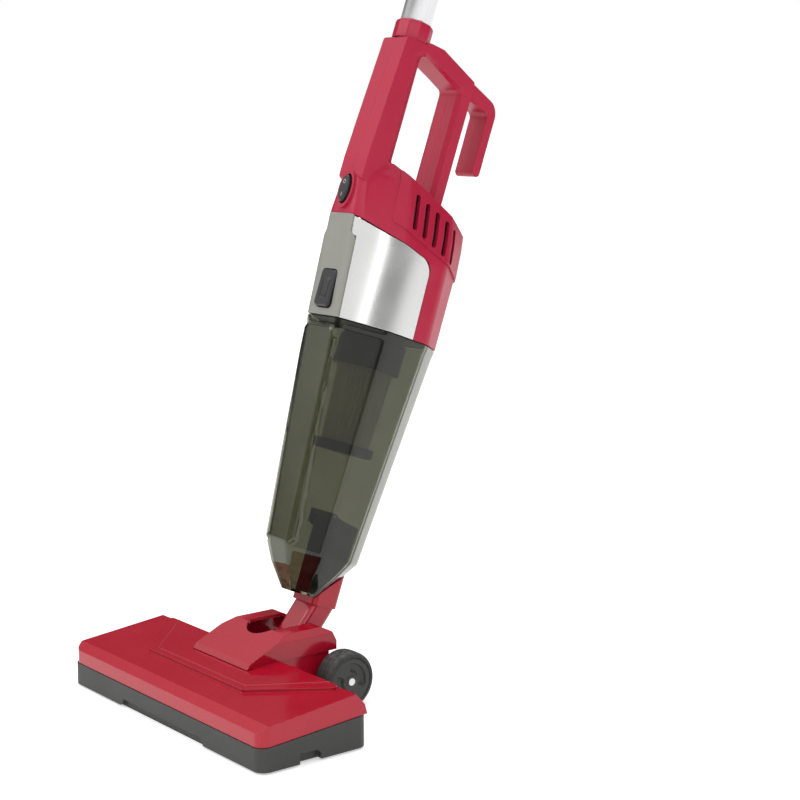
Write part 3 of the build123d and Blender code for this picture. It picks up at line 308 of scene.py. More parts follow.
def closed_mesh(name, points, faces):
    """A mesh with coinciding points merged and its faces turned outwards."""
    mesh = bpy.data.meshes.new(name)
    mesh.from_pydata(points, [], faces)
    work = bmesh.new()
    work.from_mesh(mesh)
    bmesh.ops.remove_doubles(work, verts=work.verts, dist=1e-6)
    bmesh.ops.recalc_face_normals(work, faces=work.faces)
    work.to_mesh(mesh)
    work.free()
    return mesh


def new_piece(name, shells, body, slot, sharp):
    """One mesh object from shells of points and faces, in the finish of its slot."""
    points, faces, start = [], [], 0
    for shell_points, shell_faces in shells:
        points.extend(shell_points.tolist())
        faces.extend([[start + k for k in face] for face in shell_faces])
        start += len(shell_points)
    return place(name, closed_mesh(name, points, faces), body, slot, sharp)


def place(name, mesh, body, slot, sharp):
    """Shades a mesh, gives it its slot's finish and rides it on its body."""
    shade(mesh, sharp)
    mesh.materials.append(finish(slot))
    made = add_object(name, mesh)
    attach(made, body)
    return made


# in degrees
EDGE_LIMIT = 28.0
FLAT_LIMIT = 0.08


def softened(node, width, segments=2):
    """A merged copy of a node whose edges sharper than a limit are rounded to a width."""
    work = bmesh.new()
    work.from_mesh(NODES[node].data)
    bmesh.ops.remove_doubles(work, verts=work.verts, dist=1e-5)
    flat = math.radians(FLAT_LIMIT)
    bmesh.ops.dissolve_limit(work, angle_limit=flat, verts=work.verts, edges=work.edges)
    work.verts.ensure_lookup_table()
    points = [tuple(v.co) for v in work.verts]
    faces = [[v.index for v in face.verts] for face in work.faces]
    work.free()
    mesh = bpy.data.meshes.new(node + "_skin")
    mesh.from_pydata(points, [], faces)
    made = place(node + "_skin", mesh, BODY_OF[node], SLOT_OF[node], EDGE_LIMIT)
    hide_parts(node)
    bevel = made.modifiers.new("edge", "BEVEL")
    bevel.width = width
    bevel.segments = segments
    bevel.limit_method = "ANGLE"
    bevel.angle_limit = math.radians(EDGE_LIMIT)
    bevel.use_clamp_overlap = True
    weighted = made.modifiers.new("facing", "WEIGHTED_NORMAL")
    weighted.keep_sharp = True


def finish_nodes(*nodes):
    """Gives CAD nodes the finishes of their slots."""
    for node in nodes:
        slots = NODES[node].data.materials
        slots.clear()
        slots.append(finish(SLOT_OF[node]))


# ---- shared effects
def feed(tree, socket, value):
    """Links an output to an input, or gives the input a plain value."""
    if isinstance(value, bpy.types.NodeSocket):
        tree.links.new(value, socket)
    else:
        socket.default_value = value


def fill(tree, node, **values):
    """Feeds a node's named inputs; an underscore stands for a space."""
    for label, value in values.items():
        feed(tree, node.inputs[label.replace("_", " ")], value)
    return node


def add_node(tree, kind, **values):
    """A new shader node with its named inputs fed."""
    return fill(tree, tree.nodes.new("ShaderNode" + kind), **values)


def new_group(name, inputs, outputs):
    """An empty shader group with float inputs and the given outputs."""
    group = bpy.data.node_groups.new(name, "ShaderNodeTree")
    for label, value in inputs:
        socket = group.interface.new_socket(label, in_out="INPUT", socket_type="NodeSocketFloat")
        socket.default_value = value
    for label, kind in outputs:
        group.interface.new_socket(label, in_out="OUTPUT", socket_type="NodeSocket" + kind)
    return group, group.nodes.new("NodeGroupInput").outputs, group.nodes.new("NodeGroupOutput")


def math_node(tree, operation, first, second, clamp=False):
    """The result of a Math node, whose two inputs are sockets or numbers."""
    node = tree.nodes.new("ShaderNodeMath")
    node.operation = operation
    node.use_clamp = clamp
    feed(tree, node.inputs[0], first)
    feed(tree, node.inputs[1], second)
    return node.outputs[0]


def dot_product(tree, first, second):
    """The dot product of two vectors, each a socket or three numbers."""
    node = tree.nodes.new("ShaderNodeVectorMath")
    node.operation = "DOT_PRODUCT"
    feed(tree, node.inputs[0], first)
    feed(tree, node.inputs[1], second)
    return node.outputs["Value"]


def remap(tree, source, low, high, start, end, kind="SMOOTHSTEP"):
    """A Map Range of a socket from low..high to start..end."""
    node = add_node(
        tree, "MapRange", Value=source, From_Min=low, From_Max=high, To_Min=start, To_Max=end
    )
    node.interpolation_type = kind
    return node.outputs[0]


def spread(tree, source, low, high):
    """A straight Map Range from 0.3..0.7 of a noise to a low and a high value."""
    return remap(tree, source, 0.3, 0.7, low, high, "LINEAR")


def mix_colour(tree, factor, first, second):
    """A colour mix whose inputs are sockets or plain colours."""
    node = tree.nodes.new("ShaderNodeMix")
    node.data_type = "RGBA"
    for index, value in ((0, factor), (6, first), (7, second)):
        feed(tree, node.inputs[index], (*value, 1.0) if isinstance(value, tuple) else value)
    return node.outputs[2]


def make_edge_group():
    """Edge wear: rounded normal N' from a small radius, and mask = gain times (1 - N.N')."""
    group, inlet, outlet = new_group(
        "edge_wear", (("Radius", 0.0006), ("Gain", 6.0)), (("Mask", "Float"), ("Normal", "Vector"))
    )
    bevel = add_node(group, "Bevel", Radius=inlet["Radius"])
    bevel.samples = 6
    facing = add_node(group, "NewGeometry").outputs["Normal"]
    same = dot_product(group, bevel.outputs[0], facing)
    away = math_node(group, "SUBTRACT", 1.0, same, clamp=True)
    mask = math_node(group, "MULTIPLY", away, inlet["Gain"], clamp=True)
    fill(group, outlet, Mask=mask, Normal=bevel.outputs[0])
    return group


def make_grain_group():
    """Moulded grain: fine height noise at one scale, and a slow tone noise at another."""
    group, inlet, outlet = new_group(
        "moulded_grain", (("Scale", 900.0), ("Tone Scale", 22.0)),
        (("Height", "Float"), ("Tone", "Float")),
    )
    where = add_node(group, "TexCoord").outputs["Object"]
    fine = add_node(group, "TexNoise", Vector=where, Scale=inlet["Scale"], Detail=2.0)
    slow = add_node(group, "TexNoise", Vector=where, Scale=inlet["Tone Scale"], Detail=4.0)
    fill(group, outlet, Height=fine.outputs["Fac"], Tone=slow.outputs["Fac"])
    return group


def make_dust_group():
    """Dust: the upward part of the normal, times a noise cubed, times an amount."""
    group, inlet, outlet = new_group("dust_film", (("Amount", 0.1),), (("Mask", "Float"),))
    where = add_node(group, "TexCoord").outputs["Object"]
    noise = add_node(group, "TexNoise", Vector=where, Scale=260.0, Detail=6.0)
    facing = add_node(group, "NewGeometry").outputs["Normal"]
    split = add_node(group, "SeparateXYZ", Vector=facing)
    up = math_node(group, "MAXIMUM", split.outputs["Z"], 0.15)
    speckle = math_node(group, "POWER", noise.outputs["Fac"], 3.0)
    film = math_node(group, "MULTIPLY", up, speckle)
    fill(group, outlet, Mask=math_node(group, "MULTIPLY", film, inlet["Amount"], clamp=True))
    return group


def make_brush_group():
    """Brushed lines: noise stretched along the stick and squeezed round it."""
    group, inlet, outlet = new_group(
        "brushed_lines", (("Along", 30.0), ("Across", 2600.0)),
        (("Height", "Float"), ("Tone", "Float")),
    )
    where = add_node(group, "TexCoord").outputs["Object"]
    join = add_node(group, "CombineXYZ")
    axes = ((RIGHT, "Across"), (BACK, "Across"), (STICK, "Along"))
    for socket, (axis, label) in zip(join.inputs, axes):
        part = dot_product(group, where, tuple(axis))
        feed(group, socket, math_node(group, "MULTIPLY", part, inlet[label]))
    noise = add_node(group, "TexNoise", Vector=join.outputs[0], Scale=1.0, Detail=3.0)
    fill(group, outlet, Height=noise.outputs["Fac"], Tone=noise.outputs["Fac"])
    return group


GROUP_MAKERS = {
    "edge_wear": make_edge_group,
    "moulded_grain": make_grain_group,
    "dust_film": make_dust_group,
    "brushed_lines": make_brush_group,
}
GROUPS = {}


def effect(tree, name, **values):
    """Places a shared effect in a material with its own values."""
    if name not in GROUPS:
        GROUPS[name] = GROUP_MAKERS[name]()
    node = tree.nodes.new("ShaderNodeGroup")
    node.node_tree = GROUPS[name]
    return fill(tree, node, **values)


# ---- finishes
DUST_COLOUR = (0.55, 0.53, 0.50)
WEAR_TONE = 0.8
WEAR_SHARE = 0.35


def shaded(colour, gain):
    """A colour times a gain, kept within 0 and 1."""
    return tuple(min(1.0, c * gain) for c in colour)


def new_material(name):
    """A new material with its node tree and its main shader."""
    material = bpy.data.materials.new(name)
    material.use_nodes = True
    return material, material.node_tree, material.node_tree.nodes["Principled BSDF"]


def surface(name, colour, roughness, grain=900.0, depth=2e-5, wear=0.15, dust=0.12, vary=0.10,
            metallic=0.0, sheen=0.0, specular=0.5, brushed=False):
    """A solid finish: colour varied by slow tone, paler on edges, dusted, with grain as bump."""
    material, tree, shader = new_material(name)
    if brushed:
        pattern = effect(tree, "brushed_lines", Across=grain)
    else:
        pattern = effect(tree, "moulded_grain", Scale=grain)
    worn = effect(tree, "edge_wear")
    film = effect(tree, "dust_film", Amount=dust)
    slow = pattern.outputs["Tone"]
    dark, light = shaded(colour, 1.0 - vary), shaded(colour, 1.0 + vary)
    tone = mix_colour(tree, spread(tree, slow, 0.0, 1.0), dark, light)
    edge_mask = math_node(tree, "MULTIPLY", worn.outputs["Mask"], wear)
    pale = tuple(c + (WEAR_TONE - c) * WEAR_SHARE for c in colour)
    tone = mix_colour(tree, edge_mask, tone, pale)
    tone = mix_colour(tree, film.outputs["Mask"], tone, DUST_COLOUR)
    rough = spread(tree, slow, max(0.02, roughness - 0.04), roughness + 0.05)
    bump = add_node(
        tree, "Bump", Strength=1.0, Distance=depth,
        Height=pattern.outputs["Height"], Normal=worn.outputs["Normal"],
    )
    fill(
        tree, shader, Base_Color=tone, Roughness=rough, Normal=bump.outputs["Normal"],
        Metallic=metallic, Sheen_Weight=sheen, Specular_IOR_Level=specular,
    )
    return material


def clear_plastic(name, tint):
    """Smoked clear plastic: a tinted refracting shader that lets shadow rays through tinted."""
    material, tree, shader = new_material(name)
    slow = effect(tree, "moulded_grain", Scale=60.0).outputs["Tone"]
    dark, light = shaded(tint, 0.95), shaded(tint, 1.05)
    fill(
        tree, shader, Base_Color=mix_colour(tree, spread(tree, slow, 0.0, 1.0), dark, light),
        Roughness=spread(tree, slow, 0.0, 0.004), Transmission_Weight=1.0, IOR=1.46,
        Specular_IOR_Level=0.3,
    )
    path = add_node(tree, "LightPath")
    through = add_node(tree, "BsdfTransparent", Color=(*[c ** 0.5 for c in tint], 1.0))
    mix = add_node(tree, "MixShader", Fac=path.outputs["Is Shadow Ray"])
    tree.links.new(shader.outputs[0], mix.inputs[1])
    tree.links.new(through.outputs[0], mix.inputs[2])
    tree.links.new(mix.outputs[0], tree.nodes["Material Output"].inputs["Surface"])
    return material


def recipes():
    """Each solid finish: its colour, its roughness and what else is not as usual."""
    nozzle, stick = bpy.context.scene.nozzle_looks, bpy.context.scene.stick_looks
    return {
        "red_gloss": (nozzle.red, 0.13, {
            "grain": 300.0, "depth": 3e-6, "dust": 0.02, "vary": 0.04, "wear": 0.06, "specular": 0.42,
        }),
        "red_satin": (stick.red, 0.38, {
            "grain": 1500.0, "depth": 8e-6, "dust": 0.03, "vary": 0.04, "wear": 0.08, "specular": 0.36,
        }),
        "charcoal": (nozzle.base, 0.55, {"grain": 1100.0, "depth": 3e-5, "wear": 0.2}),
        "tyre_rubber": (
            shaded(nozzle.base, 0.85), 0.72, {"grain": 700.0, "depth": 6e-5, "dust": 0.5}
        ),
        "light_plastic": ((0.62, 0.62, 0.60), 0.5, {"dust": 0.2}),
        "lint_fabric": (
            (0.30, 0.02, 0.03), 0.9, {"grain": 2200.0, "depth": 4e-4, "sheen": 0.5, "dust": 0.8}
        ),
        "steel": ((0.62, 0.62, 0.63), 0.3, {"metallic": 1.0, "grain": 1500.0, "depth": 8e-6}),
        "black_plastic": (
            (0.010, 0.010, 0.011), 0.38, {"grain": 1300.0, "depth": 1.2e-5, "dust": 0.04}
        ),
        "soft_rubber": ((0.022, 0.022, 0.024), 0.7, {"grain": 500.0, "depth": 5e-5}),
        "silver_paint": (stick.silver, 0.26, {
            "metallic": 0.92, "grain": 3000.0, "depth": 5e-6, "vary": 0.03, "wear": 0.05, "dust": 0.03,
        }),
        "grey_plastic": (
            stick.spine, 0.42, {"grain": 1400.0, "depth": 1.5e-5, "dust": 0.06, "vary": 0.04}
        ),
        "foam": ((0.03, 0.03, 0.032), 0.95, {"depth": 9e-4, "wear": 0.4}),
        "motor_steel": ((0.42, 0.42, 0.43), 0.4, {"metallic": 1.0}),
        "aluminium": ((0.68, 0.68, 0.69), 0.38, {"metallic": 1.0}),
        "copper": ((0.62, 0.24, 0.10), 0.35, {"metallic": 1.0, "grain": 1200.0, "depth": 3e-4}),
        "pleat_paper": (stick.paper, 0.9, {
            "grain": 1700.0, "depth": 6e-5, "wear": 0.3, "dust": 0.4, "vary": 0.12,
        }),
        "brushed_tube": ((0.60, 0.60, 0.61), 0.30, {
            "metallic": 1.0, "grain": 2600.0, "depth": 1e-5, "wear": 0.05, "dust": 0.02,
            "brushed": True,
        }),
        "grip_plastic": ((0.024, 0.024, 0.025), 0.6, {"grain": 1000.0, "depth": 6e-5, "dust": 0.2}),
    }


FINISHES = {}


def finish(name):
    """A named finish, made the first time that it is asked for."""
    if name in FINISHES:
        return FINISHES[name]
    if name == "smoked_clear":
        FINISHES[name] = clear_plastic(name, tuple(bpy.context.scene.stick_looks.cup))
    else:
        colour, roughness, others = recipes()[name]
        FINISHES[name] = surface(name, tuple(colour), roughness, **others)
    return FINISHES[name]


# ---- operators
class VACUUM_OT_stage(bpy.types.Operator):
    """Floor, studio light and camera."""

    bl_idname = "vacuum.stage"
    bl_label = "Stage"

    def execute(self, context):
        """Floor: a flat grid disc; lights: large soft areas; camera: low, close and to the right."""
        make_floor()
        make_lights()
        make_camera()
        return {"FINISHED"}


def make_floor():
    """A flat disc on the ground: radius times (cos t, sin t) on rings."""
    radii = np.array((0.001, 1.0, 4.0, 40.0))[:, None]
    turn = full_turn(48)
    flat = (radii * np.cos(turn), radii * np.sin(turn), 0 * radii * turn)
    corners, faces = grid_shell(np.stack(flat, axis=-1))
    faces.append(list(range(turn.size)))
    mesh = bpy.data.meshes.new("studio_floor")
    mesh.from_pydata(corners.tolist(), [], faces)
    material, tree, shader = new_material("studio_floor")
    fill(
        tree, shader, Base_Color=(0.80, 0.80, 0.80, 1), Emission_Color=(1, 1, 1, 1),
        Emission_Strength=0.46, Roughness=0.9, Specular_IOR_Level=0.1,
    )
    mesh.materials.append(material)
    floor = add_object("studio_floor", mesh)


def area_light(name, spot, target, size, energy):
    """A soft rectangular light at a spot, turned towards a target."""
    data = bpy.data.lights.new(name, "AREA")
    data.shape = "RECTANGLE"
    data.size, data.size_y = size
    data.energy = energy
    made = add_object(name, data)
    made.location = spot
    made.rotation_euler = (Vector(target) - Vector(spot)).to_track_quat("-Z", "Y").to_euler()


# soft boxes in the surroundings: direction, cosines of the outer and inner edge, brightness
SOFT_BOXES = (
    ((0.62, -0.68, 0.38), 0.86, 0.97, 1.0),
    ((0.98, 0.10, 0.10), 0.72, 0.95, 0.24),
    ((-0.62, -0.62, 0.48), 0.86, 0.97, 1.1),
    ((-0.30, 0.86, 0.42), 0.95, 0.985, 0.5),
)
HORIZON_LEVEL = 0.09
OVERHEAD_LEVEL = 1.35


def make_lights():
    """Surroundings: level(z) + sum of soft boxes, white to the eye; with a key, a strip and a top light."""
    world = bpy.data.worlds.new("studio")
    bpy.context.scene.world = world
    world.use_nodes = True
    tree = world.node_tree
    where = add_node(tree, "TexCoord").outputs["Generated"]
    split = add_node(tree, "SeparateXYZ", Vector=where)
    level = remap(tree, split.outputs["Z"], 0.34, 0.85, HORIZON_LEVEL, OVERHEAD_LEVEL)
    for direction, outer, inner, gain in SOFT_BOXES:
        facing = dot_product(tree, where, Vector(direction).normalized())
        level = math_node(tree, "ADD", level, remap(tree, facing, outer, inner, 0.0, gain))
    seen = add_node(tree, "LightPath").outputs["Is Camera Ray"]
    level = math_node(tree, "MULTIPLY", level, math_node(tree, "SUBTRACT", 1.0, seen))
    level = math_node(tree, "ADD", level, seen)
    fill(tree, tree.nodes["Background"], Strength=level, Color=(1, 1, 1, 1))
    area_light("key", (-1.1, -1.9, 1.9), (0, 0.1, 0.3), (1.2, 1.2), 12.0)
    area_light("strip", (1.9, -0.7, 1.2), (0, 0.1, 0.3), (0.35, 1.4), 5.0)
    area_light("top", (-0.3, 0.6, 2.6), (0, 0.1, 0.2), (1.6, 1.0), 8.0)


CAMERA_TARGET = np.array((0.0, 0.090, 0.300))
CAMERA_AZIMUTH = 51.29
CAMERA_ELEVATION = 9.14
CAMERA_DISTANCE = 1.400
CAMERA_RIGHT = 0.0807
CAMERA_UP = -0.0606
CAMERA_LENS = 80.95


def make_camera():
    """Camera at T + aR + bU + dB, looking along -B."""
    turn, rise = math.radians(CAMERA_AZIMUTH), math.radians(CAMERA_ELEVATION)
    back = np.array((math.sin(turn) * math.cos(rise), -math.cos(turn) * math.cos(rise), math.sin(rise)))
    right = np.array((math.cos(turn), math.sin(turn), 0.0))
    up = np.cross(back, right)
    spot = CAMERA_TARGET + CAMERA_RIGHT * right + CAMERA_UP * up + CAMERA_DISTANCE * back
    data = bpy.data.cameras.new("camera")
    data.sensor_width = 36.0
    data.lens = CAMERA_LENS
    data.clip_start = 0.01
    camera = add_object("camera", data)
    turned = Matrix((right, up, back)).transposed()
    camera.matrix_world = Matrix.Translation(Vector(spot)) @ turned.to_4x4()
    bpy.context.scene.camera = camera
    bpy.context.scene.view_settings.view_transform = "Standard"


class VACUUM_OT_nozzle(bpy.types.Operator):
    """Glossy cover and hood, matte base, sole and neck."""

    bl_idname = "vacuum.nozzle"
    bl_label = "Nozzle shells"

    def execute(self, context):
        """Each shell is its node with rounded edges."""
        edge = context.scene.nozzle_looks.edge
        for node, width in (
            ("nozzle_cover", edge), ("neck_hood", edge), ("neck_elbow", 0.6 * edge),
            ("nozzle_base", 0.6 * edge), ("sole_plate", 0.3 * edge),
        ):
            softened(node, width, segments=3)
        make_panel_bead()
        finish_nodes(
            "lint_strips", "nozzle_screws", "wheel_axles", "tilt_pins", "roller_pins",
            "friction_washers", "roller_left", "roller_right",
        )
        return {"FINISHED"}


BEAD_CORNERS = ((-0.1115, 0.0500), (-0.0625, -0.0030), (0.0625, -0.0030), (0.1115, 0.0500))
BEAD_HALF_WIDTH = 0.0008
BEAD_RISE = 0.0006
BEAD_END = 0.004


def make_panel_bead():
    """Bead inside the raised panel's edge: a flat oval section swept along an inset outline."""
    cover = NODES["nozzle_cover"].data
    tree = BVHTree.FromPolygons([v.co for v in cover.vertices], [p.vertices for p in cover.polygons])
    corners, above, down = np.array(BEAD_CORNERS), 0.2, Vector((0, 0, -1))
    lengths = np.concatenate(([0.0], np.cumsum(np.linalg.norm(np.diff(corners, axis=0), axis=1))))
    at = np.linspace(0, lengths[-1], 161)
    x, y = (np.interp(at, lengths, corners[:, k]) for k in range(2))
    z = np.array([tree.ray_cast(Vector((a, b, above)), down)[0].z for a, b in zip(x, y)])[:, None]
    along = np.stack((np.gradient(x), np.gradient(y)), axis=1)
    along /= np.linalg.norm(along, axis=1, keepdims=True)
    turn = full_turn(16)
    taper = np.clip(np.minimum(at, lengths[-1] - at) / BEAD_END, 0.05, 1)[:, None]
    side, rise = BEAD_HALF_WIDTH * taper * np.cos(turn), BEAD_RISE * taper * np.sin(turn)
    swept = (x[:, None] - along[:, 1:] * side, y[:, None] + along[:, :1] * side, z + rise)
    shell = grid_shell(np.stack(swept, axis=-1), caps=True)
    new_piece("panel_bead", [shell], "nozzle", "red_gloss", 60)


class VACUUM_OT_wheels(bpy.types.Operator):
    """Rear wheels with grooved tyres and a crescent recess in each face."""

    bl_idname = "vacuum.wheels"
    bl_label = "Wheels"

    def execute(self, context):
        """One tyre and one disc a side."""
        grooves = context.scene.nozzle_looks.tread_grooves
        for side, sign in (("left", -1.0), ("right", 1.0)):
            make_tyre(side, grooves)
            make_disc(side, sign)
        return {"FINISHED"}


def wheel_frame(node, side):
    """A wheel's centre line point, half width and radius from its node's box."""
    low, high = (np.array(c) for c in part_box(node))
    centre = np.array(JOINTS[f"wheel_{side}_roll"]["pos_m"])
    centre[0] = (low[0] + high[0]) / 2
    return centre, (high[0] - low[0]) / 2, (high[2] - low[2]) / 2


TYRE_SHOULDER = 0.0022
GROOVE_DEPTH = 0.0008
GROOVE_WIDTH = 0.045
TYRE_DEPTH = 0.0040


def make_tyre(side, grooves):
    """Tyre: r = R - shoulder fall - groove dips across the width, closed by a straight inner wall."""
    centre, half, radius = wheel_frame(f"tyre_{side}", side)
    across = np.linspace(-1, 1, 65)
    crown = radius - TYRE_SHOULDER * np.abs(across) ** 6
    for k in range(grooves):
        at = (k + 1) / (grooves + 1) * 2 - 1
        crown = crown - GROOVE_DEPTH * np.exp(-((across - at) / GROOVE_WIDTH) ** 2)
    inner = radius - TYRE_DEPTH
    profile = np.stack((crown, across * half), axis=1)
    profile = np.vstack((profile, [[inner, half]], [[inner, -half]]))
    shell = revolved(profile, centre, RIGHT, 96, ring=True)
    made = new_piece(f"tyre_{side}_tread", [shell], f"wheel_{side}_turn", "tyre_rubber", 40)
    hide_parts(f"tyre_{side}")


def rising(value, middle, width):
    """A soft step up, 1 / (1 + exp(-(value - middle) / width)); a negative width steps down."""
    return 1 / (1 + np.exp(-(value - middle) / width))


BORE_RADIUS = 0.0031
HUB_RADIUS = 0.0052
CRESCENT_RADII = (0.0078, 0.0142)
CRESCENT_TURN = 0.6
CRESCENT_DEPTH = 0.0022
HUB_RISE = 0.0006
RIM_ROLL = 0.0008


def make_disc(side, sign):
    """Disc face: depth = rim roll + crescent(r, t) - hub rise; back and bore are plain."""
    centre, half, radius = wheel_frame(f"wheel_{side}", side)
    hub_rings = np.linspace(BORE_RADIUS, 0.0050, 4)
    r = np.concatenate((hub_rings, np.linspace(0.0055, radius - RIM_ROLL, 34), [radius]))[:, None]
    t = full_turn(128)
    inner, outer = CRESCENT_RADII
    band = rising(r, inner, 0.00022) * rising(r, outer, -0.00022)
    crescent = rising(np.abs(np.cos(t - CRESCENT_TURN)), 0.52, 0.02)
    hub = rising(r, HUB_RADIUS, -0.0002)
    rim = np.exp(-((r - radius) / RIM_ROLL) ** 2)
    depth = CRESCENT_DEPTH * band * crescent - HUB_RISE * hub + RIM_ROLL * rim
    height = sign * (half - HUB_RISE - depth)
    face = np.stack((height, r * np.cos(t), r * np.sin(t)), axis=-1) + centre
    back = face.copy()
    back[..., 0] = centre[0] - sign * half
    shell = grid_shell(np.concatenate((face, back[[-1]], back[[0]]), axis=0), wrap_rows=True)
    made = new_piece(f"wheel_{side}_disc", [shell], f"wheel_{side}_turn", "charcoal", 50)
    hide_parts(f"wheel_{side}")


# the cup's and the motor unit's sections: (w, half width, front u, rear u, corner radius), in metres
CUP_BOTTOM = 0.052
CUP_KNEE = 0.071
CUP_SHOULDER = 0.085
CUP_RIM = 0.267
CUP_LEVELS = (
    (CUP_BOTTOM, 0.0150, -0.0150, 0.0090, 0.0040),
    (CUP_KNEE, 0.0260, -0.0290, 0.0250, 0.0070),
    (CUP_SHOULDER, 0.0325, -0.0360, 0.0350, 0.0090),
    (CUP_RIM, 0.0455, -0.0535, 0.0475, 0.0130),
)
UNIT_LEVELS = (
    (0.268, 0.0460, -0.0540, 0.0480, 0.0140),
    (0.330, 0.0435, -0.0600, 0.0490, 0.0140),
    (0.352, 0.0380, -0.0630, 0.0500, 0.0130),
    (0.386, 0.0260, -0.0640, 0.0500, 0.0090),
)
CUP_WALL = 0.0024
PANEL_HALF = 0.0190
PANEL_SPREAD = 0.0015
PANEL_CORNER = 0.009
PANEL_SPAN = (0.0955, 0.252)
PANEL_BEVEL = (-0.0004, 0.0012)
PANEL_RISE = 0.0018
RIM_BEAD_SPAN = (0.2615, 0.2625)
RIM_BEAD_RISE = 0.0004


class VACUUM_OT_cup(bpy.types.Operator):
    """Smoked clear cup with its inlet duct and flap."""

    bl_idname = "vacuum.cup"
    bl_label = "Dust cup"

    def execute(self, context):
        """The cup is a skin of sections with a raised front panel; the parts inside keep their shape."""
        make_cup()
        softened("inlet_duct", 0.0006)
        softened("inlet_flap", 0.0003)
        finish_nodes("flap_pin")
        return {"FINISHED"}


def make_cup():
    """Cup: section(w) + n(panel rise + rim bead); a wall inwards, less the hole over the neck."""
    heights = np.concatenate((
        np.linspace(CUP_BOTTOM, CUP_KNEE, 10), np.linspace(CUP_KNEE, CUP_SHOULDER, 8)[1:],
        np.linspace(CUP_SHOULDER, CUP_RIM, 96)[1:],
    ))
    x, u = stick_sections(CUP_LEVELS, heights, 220)
    w = heights[:, None] + 0 * x
    normal_x, normal_u = outward(x, u)
    half = PANEL_HALF + PANEL_SPREAD * (w - CUP_SHOULDER) / (CUP_RIM - CUP_SHOULDER)
    over_x = np.clip(np.abs(x) - (half - PANEL_CORNER), 0, None)
    over_w = np.clip(PANEL_SPAN[0] - w, 0, None) + np.clip(w - PANEL_SPAN[1], 0, None)
    inside = PANEL_CORNER - np.hypot(over_x, over_w)
    panel = smooth_step(inside, *PANEL_BEVEL) * (u < 0)
    rise = PANEL_RISE * panel + RIM_BEAD_RISE * smooth_step(w, *RIM_BEAD_SPAN)
    points = at_stick(x + normal_x * rise, u + normal_u * rise, w)
    shrink, middle = np.linspace(1, 0.05, 8)[:, None], -0.003
    bottom = at_stick(shrink * x[:1], middle + (u[:1] - middle) * shrink, np.array(CUP_BOTTOM))
    rows = np.concatenate((bottom[:0:-1], points), axis=0)
    vertices, faces = grid_shell(rows)
    faces.append(list(range(rows.shape[1])))
    made = new_piece("cup_body", [(vertices, faces)], "dust_cup_unit", "smoked_clear", 32)
    turn_outwards(made.data)
    thicken(made, CUP_WALL, 0)
    cut_hole(made)
    settle(made, 32)
    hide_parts("dust_cup")


HOLE_HALF_X = 0.0141
HOLE_HALF_U = 0.0106
HOLE_SPAN = (0.040, 0.082)


def cut_hole(made):
    """Takes a slightly wider copy of the inlet duct's outline, |a|^6 + |b|^6 = 1, out of the floor."""
    low, high = stick_extent("inlet_duct")
    turn = full_turn(48)
    lobe = (np.abs(np.cos(turn)) ** 6 + np.abs(np.sin(turn)) ** 6) ** (-1 / 6)
    ring_x = HOLE_HALF_X * lobe * np.cos(turn)
    ring_u = (low[1] + high[1]) / 2 + HOLE_HALF_U * lobe * np.sin(turn)
    corners, faces = grid_shell(at_stick(ring_x, ring_u, np.array(HOLE_SPAN)[:, None]), caps=True)
    tool = add_object("hole_tool", closed_mesh("hole_tool", corners.tolist(), faces))
    cut = made.modifiers.new("hole", "BOOLEAN")
    cut.operation = "DIFFERENCE"
    cut.solver = "EXACT"
    cut.object = tool
    settle(made)
    bpy.data.objects.remove(tool)


CAP_OVERLAP = 0.0045
FOLD_HALF = 0.0015
FOLD_WAVER = 0.00018
PACK_DEPTH = 0.0030


class VACUUM_OT_filter(bpy.types.Operator):
    """Pleated filter with its holder, cap and seal."""

    bl_idname = "vacuum.filter"
    bl_label = "Filter"

    def execute(self, context):
        """Pleats: r = mean(w) + fold(t), a rounded triangle wave round the axis."""
        bottom, top, top_radius, centre = turned_node("filter_pleats")
        low_radius = turned_node("filter_cap")[2] - CAP_OVERLAP
        count = context.scene.stick_looks.pleats
        turn = full_turn(count * 12)
        wave = np.arcsin(0.97 * np.sin(count * turn)) / (np.pi / 2)
        share = np.linspace(0, 1, 9)[:, None]
        outer = low_radius + (top_radius - low_radius) * share - FOLD_HALF + FOLD_HALF * wave
        outer = outer + FOLD_WAVER * np.sin(5 * turn + 9 * share)
        height = bottom + (top - bottom) * share + 0 * turn
        radius = np.concatenate((outer, outer[::-1] - PACK_DEPTH), axis=0)
        along = np.concatenate((height, height[::-1]), axis=0)
        centre_u = (centre - PIVOT) @ BACK
        points = at_stick(radius * np.cos(turn), centre_u + radius * np.sin(turn), along)
        shell = grid_shell(points, wrap_rows=True)
        made = new_piece("filter_pleat_pack", [shell], "filter", "pleat_paper", 60)
        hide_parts("filter_pleats")
        softened("filter_holder", 0.0007)
        softened("filter_cap", 0.0007)
        finish_nodes("filter_seal")
        return {"FINISHED"}


class VACUUM_OT_motor_unit(bpy.types.Operator):
    """Silver shroud, grey spine, red housing halves with the handle, and what they hold."""

    bl_idname = "vacuum.motor_unit"
    bl_label = "Motor unit"

    def execute(self, context):
        """Outer shells get rounded edges, inner pieces their finishes."""
        edge = context.scene.stick_looks.edge
        for node, width in (
            ("housing_left", edge), ("housing_right", edge),
            ("front_spine", 0.7 * edge), ("cord_gland", 0.6 * edge),
        ):
            softened(node, width)
        make_shroud()
        finish_nodes(
            "housing_screws", "exhaust_foam_left", "exhaust_foam_right", "switch_body",
            "intake_plate", "cup_seal", "lower_motor_mount", "upper_motor_mount", "fan_cover",
            "motor_bracket", "stator_core", "stator_windings", "motor_bearings",
            "button_spring", "rotor_shaft", "armature", "impeller",
        )
        return {"FINISHED"}


